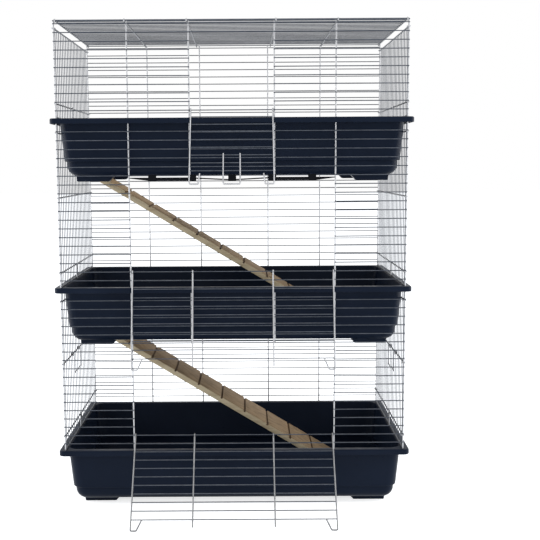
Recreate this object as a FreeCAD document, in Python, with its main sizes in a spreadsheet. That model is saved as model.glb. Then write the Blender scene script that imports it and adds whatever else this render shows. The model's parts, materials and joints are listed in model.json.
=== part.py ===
import FreeCAD, Part
import Sketcher
import math
import os

# Three-tier rabbit cage. Front is -Y, +Z is up, and the feet of the bottom tray stand on Z = 0.

doc = FreeCAD.newDocument("rabbit_cage")
Vector = FreeCAD.Vector
Placement = FreeCAD.Placement
Rotation = FreeCAD.Rotation

# Driving dimensions in millimetres.
DIMENSIONS = (
    ("rim_length", 1000, "tray rim, side to side"),
    ("rim_width", 560, "tray rim, front to back"),
    ("rim_corner", 18, "corner radius of the rim, seen from above"),
    ("rim_skirt", 15, "height of the turned-down rim"),
    ("rim_plate", 3, "thickness of the rim"),
    ("rim_edge", 4, "rounding of the rim's upper edge"),
    ("rim_overhang", 20, "rim edge to the outside of the tub"),
    ("tray_height", 174, "feet to rim top"),
    ("tray_wall", 3, "wall and floor thickness of the tub"),
    ("tub_corner", 35, "corner radius of the tub, seen from above"),
    ("tub_taper", 10, "inward lean of the upper wall"),
    ("step_height", 56, "height of the step in the tub wall"),
    ("step_inset", 5.5, "depth of the step"),
    ("base_round", 30, "rounding round the tub's base"),
    ("foot_height", 16, "height of a tray foot"),
    ("foot_length", 108, "foot, side to side"),
    ("foot_width", 35, "foot, front to back"),
    ("foot_inset_x", 58.5, "rim end to the foot"),
    ("foot_inset_y", 75, "rim front to the foot"),
    ("foot_slope", 2, "how much a foot narrows downwards at its outer end, front and back"),
    ("foot_chamfer", 16, "how much a foot narrows downwards at its inner end"),
    ("tier_pitch", 468, "rim to rim"),
    ("roof_rail", 260, "top rim to the rail that carries the roof"),
    ("front_inset", 8, "rim front to the front panel"),
    ("side_inset", 19, "rim end to the side panel"),
    ("seat_gap", 0.1, "gap under a resting piece"),
    ("running_gap", 0.3, "gap inside an eye"),
    ("rail_wire", 2.8, "horizontal wire"),
    ("post_wire", 4.2, "upright wire and stiffener"),
    ("eye_wire", 3.6, "wire of an eye"),
    ("fine_wire", 2.2, "thin wire of the side panels"),
    ("weld_sink", 0.4, "how far two crossing wires are pressed together"),
    ("wire_pitch", 24.2, "rail to rail"),
    ("top_pitch", 23.2, "rail to rail in the panels of the top tier"),
    ("first_rail", 20, "rim to the first rail"),
    ("wide_door_half", 280, "middle line of the cage to an outer upright of a wide door"),
    ("inner_half", 112, "middle line of the cage to an inner upright"),
    ("opening_gap", 4.6, "door upright to the post beside it"),
    ("wide_tip", 31, "how far a wide door's latches pass its last rail"),
    ("narrow_first", 19.8, "narrow door, hinge to its first rail"),
    ("narrow_tip", 41.6, "how far the narrow door's latches pass its last rail"),
    ("inner_tip", 22, "how far an inner upright passes the last rail"),
    ("wide_flat", 16, "straight end of a wide door's latch"),
    ("wide_slant", 14, "sideways run of its return"),
    ("narrow_flat", 24, "straight end of the narrow door's latch"),
    ("narrow_slant", 3.2, "sideways run of its return"),
    ("latch_return", 31, "height of a latch's return"),
    ("latch_bend", 4, "bend radius of a latch"),
    ("tongue_half", 22.5, "half width of the narrow door's tongue"),
    ("ramp_width", 170, "ramp, front to back"),
    ("ramp_length", 890, "ramp from its rod to its lower end"),
    ("ramp_head", 6, "ramp above its rod"),
    ("ramp_thick", 16, "thickness of a ramp"),
    ("ramp_sink", 2, "ramp rod to the middle of the thickness"),
    ("ramp_middle_y", 75, "ramp's middle line behind the cage's"),
    ("ramp_top_x", 430, "ramp rod left of the cage's middle line"),
    ("groove_pitch", 83.5, "groove to groove on a ramp"),
    ("groove_start", 31.5, "ramp rod to the first groove"),
    ("groove_width", 6, "width of a groove"),
    ("groove_depth", 4, "depth of a groove"),
    ("rod_wire", 6, "diameter of a ramp rod"),
    ("rod_gap", 0.1, "gap round a ramp rod"),
    ("rod_bearing", 15, "length of rod that lies on the floor at each end"),
    ("hole_length", 278, "ramp hole, side to side"),
    ("hole_gap", 8, "ramp to the front and back of its hole"),
    ("hole_head", 13, "ramp rod to the end of its hole"),
    ("clip_length", 22, "clip, along its rail"),
    ("clip_depth", 5.4, "clip, rail to its front"),
    ("clip_lip", 0.6, "clip, rail to its open back"),
    ("clip_drop", 16, "clip, rail to its lower end"),
    ("clip_rise", 2.5, "clip, rail to its upper end"),
    ("clip_pitch", 110, "clip to clip"),
    ("strip_height", 9, "height of the strip that the clips hold"),
    ("strip_thick", 2, "thickness of the strip"),
    ("loop_drop", 57, "height of a side loop"),
    ("loop_bend", 6, "bend radius of a side loop"),
)

sheet = doc.addObject("Spreadsheet::Sheet", "Sizes")
for row, (alias, number, meaning) in enumerate(DIMENSIONS, start=1):
    sheet.set(f"A{row}", meaning)
    sheet.set(f"B{row}", str(number))
    sheet.setAlias(f"B{row}", alias)
doc.recompute()


class Size:
    """A length: its value now and the sheet expression that drives it."""

    def __init__(self, text, value):
        self.text = text
        self.value = value

    @staticmethod
    def of(other):
        return other if isinstance(other, Size) else Size(str(other), float(other))

    def __add__(self, other):
        other = Size.of(other)
        return Size(f"({self.text} + {other.text})", self.value + other.value)

    def __sub__(self, other):
        other = Size.of(other)
        return Size(f"({self.text} - {other.text})", self.value - other.value)

    def __mul__(self, number):
        return Size(f"({self.text} * {number})", self.value * number)

    def __truediv__(self, number):
        return Size(f"({self.text} / {number})", self.value / number)

    def __neg__(self):
        return self * -1


class Sizes:
    """Every driving dimension of the sheet, by its alias."""

    def __getattr__(self, alias):
        return Size(f"Sizes.{alias}", float(getattr(sheet, alias)))


S = Sizes()

HALF_X = S.rim_length / 2
HALF_Y = S.rim_width / 2
PANEL_X = HALF_X - S.side_inset
PANEL_Y = HALF_Y - S.front_inset
FLOOR_TOP = S.foot_height + S.tray_wall
RAIL_TO_POST = (S.rail_wire + S.post_wire) / 2 - S.weld_sink
POST_TO_FINE = (S.post_wire + S.fine_wire) / 2 - S.weld_sink
RAIL_EYE = (S.rail_wire + S.eye_wire) / 2 + S.running_gap
POST_EYE = (S.post_wire + S.eye_wire) / 2 + S.running_gap
BESIDE_POST = S.post_wire + S.running_gap
POST_Y = PANEL_Y - RAIL_TO_POST
TALL_TOP = S.tier_pitch - S.rim_plate - S.seat_gap
OUTER_POST = S.wide_door_half + S.opening_gap
INNER_POST = S.inner_half + S.opening_gap

# Rows of rails, counted up from the first rail: hinge rail and top rail of each opening.
WIDE_HINGE_ROW = 1
WIDE_TOP_ROW = 12
NARROW_HINGE_ROW = 0
NARROW_TOP_ROW = 9
WIDE_DOOR_RAILS = 10
NARROW_DOOR_RAILS = 8
TONGUE_RAIL = 6

# Part of a row that stays free above the last rail of a panel.
LEAST_ROOM = 0.3

TURN = {
    "X": Rotation(Vector(0, 1, 0), 90),
    "Y": Rotation(Vector(1, 0, 0), -90),
    "Z": Rotation(),
}


def bind(target, name, length):
    """Drive one property of an object from the sheet."""
    target.setExpression(name, Size.of(length).text)


def place(target, x=0, y=0, z=0):
    """Drive the position of an object from the sheet."""
    for letter, length in zip("xyz", (x, y, z)):
        bind(target, f".Placement.Base.{letter}", length)


def rod(axis, start, end, diameter, name="wire"):
    """A straight wire along X, Y or Z from the start point to the end value on that axis."""
    wire = doc.addObject("Part::Cylinder", name)
    wire.Placement = Placement(Vector(), TURN[axis])
    bind(wire, "Radius", diameter / 2)
    bind(wire, "Height", Size.of(end) - start["XYZ".index(axis)])
    place(wire, *start)
    return wire


def ring(axis, centre, radius, name="eye"):
    """A wire eye round a rail or post."""
    eye = doc.addObject("Part::Torus", name)
    eye.Placement = Placement(Vector(), TURN[axis])
    bind(eye, "Radius1", radius)
    bind(eye, "Radius2", S.eye_wire / 2)
    place(eye, *centre)
    return eye


def block(corner, length, width, height, name="block"):
    """A box from its lower left front corner."""
    box = doc.addObject("Part::Box", name)
    bind(box, "Length", length)
    bind(box, "Width", width)
    bind(box, "Height", height)
    place(box, *corner)
    return box


def weld(label, pieces):
    """One solid out of wires that cross."""
    joined = doc.addObject("Part::MultiFuse", label)
    joined.Shapes = pieces
    joined.Refine = False
    joined.Label = label
    return joined


def copy_of(label, source):
    """The same piece again, for another place."""
    again = doc.addObject("Part::Compound", label)
    again.Links = [source]
    again.Label = label
    return again


def cut(label, base, tool):
    """One piece with another taken away."""
    result = doc.addObject("Part::Cut", label)
    result.Base = base
    result.Tool = tool
    result.Label = label
    return result


def bent_wire(name, points, bend, diameter):
    """A wire bent through points, each corner rounded."""
    edges = []
    start = points[0]
    for before, corner, after in zip(points, points[1:], points[2:]):
        inward = (corner - before).normalize()
        outward = (after - corner).normalize()
        half_turn = inward.getAngle(outward) / 2
        reach = bend * math.tan(half_turn)
        middle = (outward - inward).normalize()
        first = corner - inward * reach
        last = corner + outward * reach
        crown = corner + middle * (bend / math.cos(half_turn) - bend)
        edges.append(Part.LineSegment(start, first).toShape())
        edges.append(Part.Arc(first, crown, last).toShape())
        start = last
    edges.append(Part.LineSegment(start, points[-1]).toShape())
    section = Part.makeCircle(diameter / 2, points[0], points[1] - points[0])
    wire = doc.addObject("Part::Feature", name)
    wire.Shape = Part.Wire(edges).makePipeShell([Part.Wire([section])], True, False)
    return wire


def row_height(row, pitch=S.wire_pitch):
    """Height of a rail above the rim."""
    return S.first_rail + pitch * row


def rows_up_to(height, pitch):
    """Heights above the rim of the rails that fit below a height."""
    room = height.value - S.first_rail.value - LEAST_ROOM * pitch.value
    count = int(room / pitch.value) + 1
    return [row_height(row, pitch) for row in range(count)]


def spread(half, count):
    """Places of equally spaced wires between two panels, half a step clear of each."""
    step = half * 2 / count
    return [step * (index + 0.5) - half for index in range(count)]


def wires_across(half):
    """How many wires at the usual pitch fit between two panels."""
    return round(2 * half.value / S.wire_pitch.value)


# Floor trays


def origin_plane(body, role):
    return next(plane for plane in body.Origin.OriginFeatures if plane.Role == role)


def sketch_on(body, name, role, height=0):
    sketch = body.newObject("Sketcher::SketchObject", name)
    sketch.AttachmentSupport = [(origin_plane(body, role), "")]
    sketch.MapMode = "FlatFace"
    bind(sketch, ".AttachmentOffset.Base.z", height)
    return sketch


def tie(sketch, *terms):
    """A geometric constraint of a sketch."""
    return sketch.addConstraint(Sketcher.Constraint(*terms))


def constrain(sketch, length, *terms):
    """A driven dimension of a sketch."""
    index = tie(sketch, *terms, length.value)
    sketch.setExpression(f"Constraints[{index}]", length.text)


def add_outline(sketch, half_x, half_y, corner):
    """A rectangle with round corners about the middle of a sketch."""
    x, y, r = half_x.value, half_y.value, corner.value
    first = sketch.GeometryCount
    line, arc = Part.LineSegment, Part.ArcOfCircle
    up = Vector(0, 0, 1)
    quarter = math.pi / 2
    shapes = []
    for start, end, centre, angle in (
        ((r - x, -y), (x - r, -y), (x - r, r - y), -quarter),
        ((x, r - y), (x, y - r), (x - r, y - r), 0),
        ((x - r, y), (r - x, y), (r - x, y - r), quarter),
        ((-x, y - r), (-x, r - y), (r - x, r - y), 2 * quarter),
    ):
        shapes.append(line(Vector(*start), Vector(*end)))
        shapes.append(arc(Part.Circle(Vector(*centre), up, r), angle, angle + quarter))
    sketch.addGeometry(shapes, False)
    count = len(shapes)
    for index in range(count):
        following = first + (index + 1) % count
        tie(sketch, "Tangent", first + index, 2, following, 1)
    tie(sketch, "Horizontal", first + 4)
    tie(sketch, "Vertical", first + 6)
    for index in (3, 5, 7):
        tie(sketch, "Equal", first + 1, first + index)
    tie(sketch, "Symmetric", first, 1, first, 2, -2)
    tie(sketch, "Symmetric", first + 2, 1, first + 2, 2, -1)
    constrain(sketch, corner, "Radius", first + 1)
    constrain(sketch, half_x * 2, "DistanceX", first + 6, 1, first + 2, 1)
    constrain(sketch, half_y * 2, "DistanceY", first, 1, first + 4, 1)


def outline(body, name, inset, corner, height):
    """A sketch of the tray's outline, inset from the rim, at a height above the feet."""
    sketch = sketch_on(body, name, "XY_Plane", height)
    add_outline(sketch, HALF_X - inset, HALF_Y - inset, corner)
    return sketch


def loft(body, name, low, high):
    """A slanted wall between two outlines."""
    skin = body.newObject("PartDesign::AdditiveLoft", name)
    skin.Profile = low
    skin.Sections = [high]
    skin.Ruled = True
    doc.recompute()
    return skin


def pad(body, name, plan, height):
    """An upright wall on an outline."""
    prism = body.newObject("PartDesign::Pad", name)
    prism.Profile = plan
    bind(prism, "Length", height)
    doc.recompute()
    return prism


def round_edges_at(body, name, feature, height, radius):
    """Round every edge of a feature that lies at a height."""
    near = 0.01
    chosen = []
    for index, edge in enumerate(feature.Shape.Edges, start=1):
        box = edge.BoundBox
        if abs(box.ZMin - height.value) < near and abs(box.ZMax - height.value) < near:
            chosen.append(f"Edge{index}")
    fillet = body.newObject("PartDesign::Fillet", name)
    fillet.Base = (feature, chosen)
    bind(fillet, "Radius", radius)
    doc.recompute()
    return fillet


STEP_ABOVE = S.rim_overhang + S.tub_taper
STEP_BELOW = STEP_ABOVE + S.step_inset
HOLE_LEFT = -S.ramp_top_x - S.hole_head
HOLE_FRONT = S.ramp_middle_y - S.ramp_width / 2 - S.hole_gap
HOLE_WIDTH = S.ramp_width + S.hole_gap * 2


def tub_outside(name):
    """The outside of a tray without its feet."""
    body = doc.addObject("PartDesign::Body", name)
    base = outline(body, f"{name}_base", STEP_BELOW, S.tub_corner, S.foot_height)
    lower = pad(body, f"{name}_lower", base, S.step_height - S.foot_height)
    round_edges_at(body, f"{name}_base_round", lower, S.foot_height, S.base_round)
    loft(
        body, f"{name}_upper",
        outline(body, f"{name}_step_high", STEP_ABOVE, S.tub_corner, S.step_height),
        outline(body, f"{name}_brim", S.rim_overhang, S.tub_corner, S.tray_height - S.rim_plate),
    )
    rim_plan = outline(body, f"{name}_rim_plan", Size.of(0), S.rim_corner, S.tray_height - S.rim_skirt)
    rim = pad(body, f"{name}_rim", rim_plan, S.rim_skirt)
    round_edges_at(body, f"{name}_rim_edge", rim, S.tray_height, S.rim_edge)
    channel_plan = outline(
        body, f"{name}_channel_plan", S.rim_plate, S.rim_corner - S.rim_plate, S.tray_height - S.rim_skirt,
    )
    add_outline(channel_plan, HALF_X - S.rim_overhang, HALF_Y - S.rim_overhang, S.tub_corner)
    channel = body.newObject("PartDesign::Pocket", f"{name}_channel")
    channel.Profile = channel_plan
    channel.Reversed = True
    bind(channel, "Length", S.rim_skirt - S.rim_plate)
    doc.recompute()
    return body


def tub_inside(name, with_hole):
    """The hollow of a tray, with the hole that a ramp passes through."""
    body = doc.addObject("PartDesign::Body", name)
    corner = S.tub_corner - S.tray_wall
    ledge = S.step_height + S.tray_wall
    floor = outline(body, f"{name}_floor", STEP_BELOW + S.tray_wall, corner, FLOOR_TOP)
    lower = pad(body, f"{name}_lower", floor, ledge - FLOOR_TOP)
    round_edges_at(body, f"{name}_floor_round", lower, FLOOR_TOP, S.base_round - S.tray_wall)
    loft(
        body, f"{name}_upper",
        outline(body, f"{name}_step_high", STEP_ABOVE + S.tray_wall, corner, ledge),
        outline(body, f"{name}_mouth", S.rim_overhang + S.tray_wall, corner, S.tray_height + S.tray_wall),
    )
    if not with_hole:
        return body
    hole = block(
        (HOLE_LEFT, HOLE_FRONT, 0), S.hole_length, HOLE_WIDTH, FLOOR_TOP + S.tray_wall, f"{name}_ramp_hole",
    )
    return weld(f"{name}_with_hole", [body, hole])


def feet(name):
    """Four tapered feet, one near each corner."""
    pieces = []
    for side_x in (-1, 1):
        for side_y in (-1, 1):
            foot = doc.addObject("Part::Wedge", f"{name}_foot")
            foot.Placement = Placement(Vector(), Rotation(Vector(1, 0, 0), 90))
            half_x = S.foot_length / 2
            half_y = S.foot_width / 2
            bind(foot, "Ymin", 0)
            bind(foot, "Ymax", S.foot_height + S.tray_wall / 2)
            ends = [(S.foot_chamfer - half_x) * side_x, (half_x - S.foot_slope) * side_x]
            low, high = ends[::side_x]
            bind(foot, "Xmin", low)
            bind(foot, "Xmax", high)
            bind(foot, "Zmin", S.foot_slope - half_y)
            bind(foot, "Zmax", half_y - S.foot_slope)
            bind(foot, "X2min", -half_x)
            bind(foot, "X2max", half_x)
            bind(foot, "Z2min", -half_y)
            bind(foot, "Z2max", half_y)
            place(
                foot,
                (HALF_X - S.foot_inset_x - half_x) * side_x,
                (HALF_Y - S.foot_inset_y - half_y) * side_y,
                0,
            )
            pieces.append(foot)
    return pieces


def tray(label, with_hole):
    """A whole tray, its feet on Z = 0."""
    outside = weld(f"{label}_outside", [tub_outside(f"{label}_tub")] + feet(label))
    return cut(label, outside, tub_inside(f"{label}_hollow", with_hole))


# Wire panels


def front_panel(label, rim, rows, top, opening):
    """A front panel with a door opening between two of its rails, its posts standing on the rim."""
    hinge_row, top_row, post_x, long_posts, short_posts = opening
    end = PANEL_X + S.post_wire / 2
    pieces = []
    for row, height in enumerate(rows):
        z = rim + height
        if hinge_row < row < top_row:
            pieces.append(rod("X", (-end, -PANEL_Y, z), -post_x + S.post_wire / 2, S.rail_wire))
            pieces.append(rod("X", (post_x - S.post_wire / 2, -PANEL_Y, z), end, S.rail_wire))
        else:
            pieces.append(rod("X", (-end, -PANEL_Y, z), end, S.rail_wire))
    if top is None:
        roof_rail = rim + S.roof_rail
        pieces.append(rod("X", (-end, -PANEL_Y, roof_rail), end, S.rail_wire))
        post_top = roof_rail
    else:
        post_top = rim + top
    for side in (-1, 1):
        for x in (PANEL_X, post_x) + long_posts:
            pieces.append(rod("Z", (x * side, -POST_Y, rim + S.seat_gap), post_top, S.post_wire))
        for x in short_posts:
            pieces.append(rod("Z", (x * side, -POST_Y, rim + rows[top_row]), post_top, S.post_wire))
    return weld(label, pieces)


def back_panel(label, rim, rows, top):
    """A back panel, with no opening."""
    end = PANEL_X + S.post_wire / 2
    heights = rows if top is not None else rows + [S.roof_rail]
    post_top = rim + (S.roof_rail if top is None else top)
    pieces = [rod("X", (-end, PANEL_Y, rim + height), end, S.rail_wire) for height in heights]
    for x in (PANEL_X, OUTER_POST, S.inner_half):
        for side in (-1, 1):
            pieces.append(rod("Z", (x * side, POST_Y, rim + S.seat_gap), post_top, S.post_wire))
    return weld(label, pieces)


def left_panel(label, rim, stiffener_heights, top):
    """A side panel: thin uprights on stiffeners that end in eyes round the corner posts."""
    outside = -PANEL_X - POST_TO_FINE
    foot_z = rim + S.seat_gap
    seat = rim + S.post_wire / 2 + S.seat_gap
    pieces = []
    for y in spread(PANEL_Y, wires_across(PANEL_Y)):
        pieces.append(rod("Z", (outside, y, foot_z), rim + top, S.fine_wire))
    reach = POST_Y - POST_EYE
    for height in stiffener_heights:
        z = rim + height
        pieces.append(rod("Y", (-PANEL_X, -reach, z), reach, S.post_wire))
        for side in (-1, 1):
            pieces.append(ring("Z", (-PANEL_X, POST_Y * side, z), POST_EYE))
    pieces.append(rod("Y", (-PANEL_X, -reach, seat), reach, S.post_wire))
    brace_x = -PANEL_X + S.post_wire - S.weld_sink
    brace_y = spread(PANEL_Y, wires_across(PANEL_Y))[wires_across(PANEL_Y) // 2 - 2]
    brace_top = rim + stiffener_heights[0] + S.post_wire
    pieces.append(rod("Z", (brace_x, brace_y, foot_z), brace_top, S.post_wire))
    return weld(label, pieces)


def roof_panel(label, height):
    """The roof: wires from side to side on stiffeners whose eyes hold the front and back rails."""
    end = PANEL_X + S.post_wire / 2
    reach = PANEL_Y - RAIL_EYE
    pieces = []
    for y in spread(PANEL_Y, wires_across(PANEL_Y)):
        pieces.append(rod("X", (-end, y, height + RAIL_TO_POST), end, S.rail_wire))
    for x in (PANEL_X - BESIDE_POST, OUTER_POST + BESIDE_POST, INNER_POST + BESIDE_POST):
        for side in (-1, 1):
            pieces.append(rod("Y", (x * side, -reach, height), reach, S.post_wire))
            for face in (-1, 1):
                pieces.append(ring("X", (x * side, PANEL_Y * face, height), RAIL_EYE))
    return weld(label, pieces)


# Doors, made hanging straight down from a hinge line at the origin


def door_rail(half, drop):
    end = half + S.post_wire / 2
    return rod("X", (-end, RAIL_TO_POST, -drop), end, S.rail_wire)


def latch(x, side, reach, flat, slant):
    """An outer upright, bent inwards at its end and turned back."""
    inward = -side * flat.value
    sideways = -side * slant.value
    points = [
        Vector(x, 0, -RAIL_EYE.value),
        Vector(x, 0, -reach),
        Vector(x + inward, 0, -reach),
        Vector(x + inward + sideways, 0, S.latch_return.value - reach),
    ]
    return bent_wire("latch", points, S.latch_bend.value, S.post_wire.value)


def hinged_upright(x, length):
    return rod("Z", (x, 0, -length), -RAIL_EYE, S.post_wire)


def wide_door(label):
    """The door of the lower two tiers."""
    last_rail = S.wire_pitch * WIDE_DOOR_RAILS
    reach = (last_rail + S.wide_tip).value
    pieces = [door_rail(S.wide_door_half, S.wire_pitch * row) for row in range(1, WIDE_DOOR_RAILS + 1)]
    for side in (-1, 1):
        pieces.append(latch(S.wide_door_half.value * side, side, reach, S.wide_flat, S.wide_slant))
        pieces.append(hinged_upright(S.inner_half * side, last_rail + S.inner_tip))
        pieces.append(ring("X", (S.wide_door_half * side, 0, 0), RAIL_EYE))
        pieces.append(ring("X", (S.inner_half * side, 0, 0), RAIL_EYE))
    return weld(label, pieces)


def narrow_drop(row):
    """Distance from the narrow door's hinge to one of its rails."""
    return S.narrow_first + S.wire_pitch * (row - 1)


def narrow_door(label):
    """The door of the top tier, with a tongue between its two latches."""
    half = S.inner_half
    reach = (narrow_drop(NARROW_DOOR_RAILS) + S.narrow_tip).value
    pieces = [door_rail(half, narrow_drop(row)) for row in range(1, NARROW_DOOR_RAILS + 1)]
    for side in (-1, 1):
        pieces.append(latch(half.value * side, side, reach, S.narrow_flat, S.narrow_slant))
        pieces.append(ring("X", (half * side, 0, 0), RAIL_EYE))
    tongue_top = S.rail_wire.value - narrow_drop(TONGUE_RAIL).value
    tongue_x = S.tongue_half.value
    points = [
        Vector(-tongue_x, 0, tongue_top),
        Vector(-tongue_x, 0, -reach),
        Vector(tongue_x, 0, -reach),
        Vector(tongue_x, 0, tongue_top),
    ]
    pieces.append(bent_wire("tongue", points, S.latch_bend.value, S.post_wire.value))
    return weld(label, pieces)


def lean_on_rim(hinge):
    """Angle in degrees at which a hanging door touches the rim below its hinge."""
    radius = S.rim_edge.value
    slab = RAIL_TO_POST.value + S.rail_wire.value / 2 + S.running_gap.value
    across = S.front_inset.value - radius
    down = hinge.value + radius
    line = math.atan2(across, down)
    return math.degrees(line + math.asin((radius + slab) / math.hypot(across, down)))


def lean_on_floor():
    """Angle in degrees at which the bottom door's tip touches the floor."""
    return math.degrees(math.acos(TIP_DROP.value / WIDE_LENGTH.value))


def hang(label, source, hinge_height, lean):
    """A door on its hinge rail, its lower end leaning out by an angle in degrees."""
    door = copy_of(label, source)
    door.Placement = Placement(Vector(), Rotation(Vector(1, 0, 0), -lean))
    return keep(door, 0, MIDDLE_Y - PANEL_Y, hinge_height)


# Ramps


def add_rectangle(sketch, left, right, low, high):
    """A rectangle round the middle of a sketch."""
    x0, x1, y0, y1 = left.value, right.value, low.value, high.value
    corners = [Vector(x0, y0), Vector(x1, y0), Vector(x1, y1), Vector(x0, y1)]
    sides = [Part.LineSegment(a, b) for a, b in zip(corners, corners[1:] + corners[:1])]
    sketch.addGeometry(sides, False)
    for index in range(len(sides)):
        tie(sketch, "Coincident", index, 2, (index + 1) % len(sides), 1)
    for index, direction in enumerate(("Horizontal", "Vertical", "Horizontal", "Vertical")):
        tie(sketch, direction, index)
    constrain(sketch, left, "DistanceX", -1, 1, 0, 1)
    constrain(sketch, right, "DistanceX", -1, 1, 1, 1)
    constrain(sketch, low, "DistanceY", -1, 1, 0, 1)
    constrain(sketch, high, "DistanceY", -1, 1, 2, 1)


def plank(label):
    """A ramp, lying flat, its rod along Y through the origin."""
    body = doc.addObject("PartDesign::Body", label)
    body.Label = label
    half_width = S.ramp_width / 2
    plan = sketch_on(body, f"{label}_plan", "XY_Plane", -S.ramp_thick / 2 - S.ramp_sink)
    add_rectangle(plan, -S.ramp_head, S.ramp_length, -half_width, half_width)
    pad(body, f"{label}_board", plan, S.ramp_thick)
    groove_plan = sketch_on(body, f"{label}_groove_plan", "XY_Plane", S.ramp_thick / 2 - S.ramp_sink)
    add_rectangle(
        groove_plan, S.groove_start, S.groove_start + S.groove_width,
        -half_width - S.groove_width, half_width + S.groove_width,
    )
    groove = body.newObject("PartDesign::Pocket", f"{label}_groove")
    groove.Profile = groove_plan
    bind(groove, "Length", S.groove_depth)
    doc.recompute()
    run = S.ramp_length.value - S.groove_start.value - S.groove_width.value * 2
    steps = int(run / S.groove_pitch.value)
    grooves = body.newObject("PartDesign::LinearPattern", f"{label}_grooves")
    grooves.Originals = [groove]
    grooves.Direction = (origin_plane(body, "X_Axis"), [""])
    grooves.Occurrences = steps + 1
    bind(grooves, "Length", S.groove_pitch * steps)
    body.Tip = grooves
    doc.recompute()
    bore_plan = sketch_on(body, f"{label}_bore_plan", "XZ_Plane")
    bore_radius = S.rod_wire / 2 + S.rod_gap
    bore_plan.addGeometry(Part.Circle(Vector(), Vector(0, 0, 1), bore_radius.value), False)
    tie(bore_plan, "Coincident", 0, 3, -1, 1)
    constrain(bore_plan, bore_radius, "Radius", 0)
    bore = body.newObject("PartDesign::Pocket", f"{label}_bore")
    bore.Profile = bore_plan
    bore.Midplane = True
    bind(bore, "Length", S.ramp_width * 2)
    doc.recompute()
    return body


def ramp_slope():
    """Angle in degrees at which a ramp's lower edge touches the floor below."""
    drop = S.tier_pitch.value + S.rod_wire.value / 2 + S.seat_gap.value - S.running_gap.value
    under = S.ramp_thick.value / 2 + S.ramp_sink.value
    run = S.ramp_length.value
    return math.degrees(math.asin(drop / math.hypot(run, under)) - math.atan2(under, run))


# Clips, strip and loops


def clip(name, x, height):
    """A dark clip on the top rail of the middle opening, open at the back, with a slot for the strip."""
    left = x - S.clip_length / 2
    right = x + S.clip_length / 2
    front = -PANEL_Y - S.clip_depth
    body = block(
        (left, front, height - S.clip_drop), S.clip_length, S.clip_depth + S.clip_lip,
        S.clip_drop + S.clip_rise, f"{name}_block",
    )
    margin = S.clip_length / 10
    bore = rod(
        "X", (left - margin, -PANEL_Y, height), right + margin, S.rail_wire + S.rod_gap * 2, f"{name}_bore",
    )
    slot = block(
        (left - margin, STRIP_FRONT - S.rod_gap, height - STRIP_DROP - S.rod_gap),
        S.clip_length + margin * 2, S.strip_thick + S.rod_gap * 2, S.strip_height + S.rod_gap * 2,
        f"{name}_slot",
    )
    return cut(name, body, weld(f"{name}_holes", [bore, slot]))


STRIP_FRONT = -PANEL_Y - (S.clip_depth + S.strip_thick - S.clip_lip) / 2
STRIP_DROP = S.clip_drop - (S.clip_drop - S.rail_wire - S.strip_height) / 2
# Height of the strip between the inner clips and at its ends, as shares of its full height
STRIP_SLIM = 0.4
STRIP_END = 0.3
CLIP_STEPS = (-2, -1, 0, 1, 2)
LOOP_STEPS = 4


def held_strip(label, half):
    """The strip that the clips hold, tapered at its ends, slim and hanging lower between the inner clips."""
    full = S.strip_height.value
    slim = full * STRIP_SLIM
    end = half.value
    inner = S.clip_pitch.value
    outer = inner * 2 + S.clip_length.value / 2
    right = [
        (0, slim), (inner, full), (end, full), (end, full - full * STRIP_END),
        (outer, 0), (inner, 0), (inner, full - slim), (0, 0),
    ]
    left = [(-x, z) for x, z in right[-2:0:-1]]
    corners = [Vector(x, 0, z) for x, z in right + left]
    face = Part.Face(Part.makePolygon(corners + corners[:1]))
    strip = doc.addObject("Part::Feature", label)
    strip.Shape = face.extrude(Vector(0, S.strip_thick.value, 0))
    return strip


def side_loop(label, height):
    """A wire loop that hangs by two eyes on the middle stiffener of the left panel."""
    count = wires_across(PANEL_Y)
    step = PANEL_Y * 2 / count
    back = step * (count // 2 - 1) - PANEL_Y
    front = back - step * LOOP_STEPS
    x = -PANEL_X + BESIDE_POST
    end = height.value - S.loop_drop.value
    corners = ((front.value, height.value), (front.value, end), (back.value, end), (back.value, height.value))
    points = [Vector(x.value, y, z) for y, z in corners]
    pieces = [bent_wire(f"{label}_bow", points, S.loop_bend.value, S.post_wire.value)]
    for y in (front, back):
        pieces.append(ring("Y", (-PANEL_X, y, height), BESIDE_POST))
    return weld(label, pieces)


# The assembly, moved back so that the origin is under the middle of the cage and its open doors

RIM = S.tray_height
MIDDLE_RIM = RIM + S.tier_pitch
TOP_RIM = MIDDLE_RIM + S.tier_pitch
WIDE_HINGE = row_height(WIDE_HINGE_ROW)
NARROW_HINGE = row_height(NARROW_HINGE_ROW, S.top_pitch)
WIDE_LENGTH = S.wire_pitch * WIDE_DOOR_RAILS + S.wide_tip
TIP_DROP = RIM + WIDE_HINGE - S.post_wire / 2 - S.running_gap
TIP_REACH = Size(
    f"sqrt({WIDE_LENGTH.text}^2 - {TIP_DROP.text}^2)",
    math.sqrt(WIDE_LENGTH.value ** 2 - TIP_DROP.value ** 2),
)
MIDDLE_Y = (PANEL_Y + TIP_REACH + S.post_wire / 2 - HALF_Y) / 2

nodes = []


def keep(piece, x=0, y=MIDDLE_Y, z=0):
    """Count a piece as part of the cage and put it in its place."""
    place(piece, x, y, z)
    nodes.append(piece)
    return piece


def keep_above(label, source):
    """The same piece again, one tier higher."""
    return keep(copy_of(label, source), 0, 0, S.tier_pitch)


def keep_mirrored(label, source):
    """The same piece again, on the right-hand side."""
    other = doc.addObject("Part::Mirroring", label)
    other.Source = source
    other.Normal = Vector(1, 0, 0)
    other.Label = label
    nodes.append(other)
    return other


keep(tray("bottom_tray", with_hole=False))
middle_tray = keep(tray("middle_tray", with_hole=True), z=S.tier_pitch)
keep_above("top_tray", middle_tray)

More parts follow.
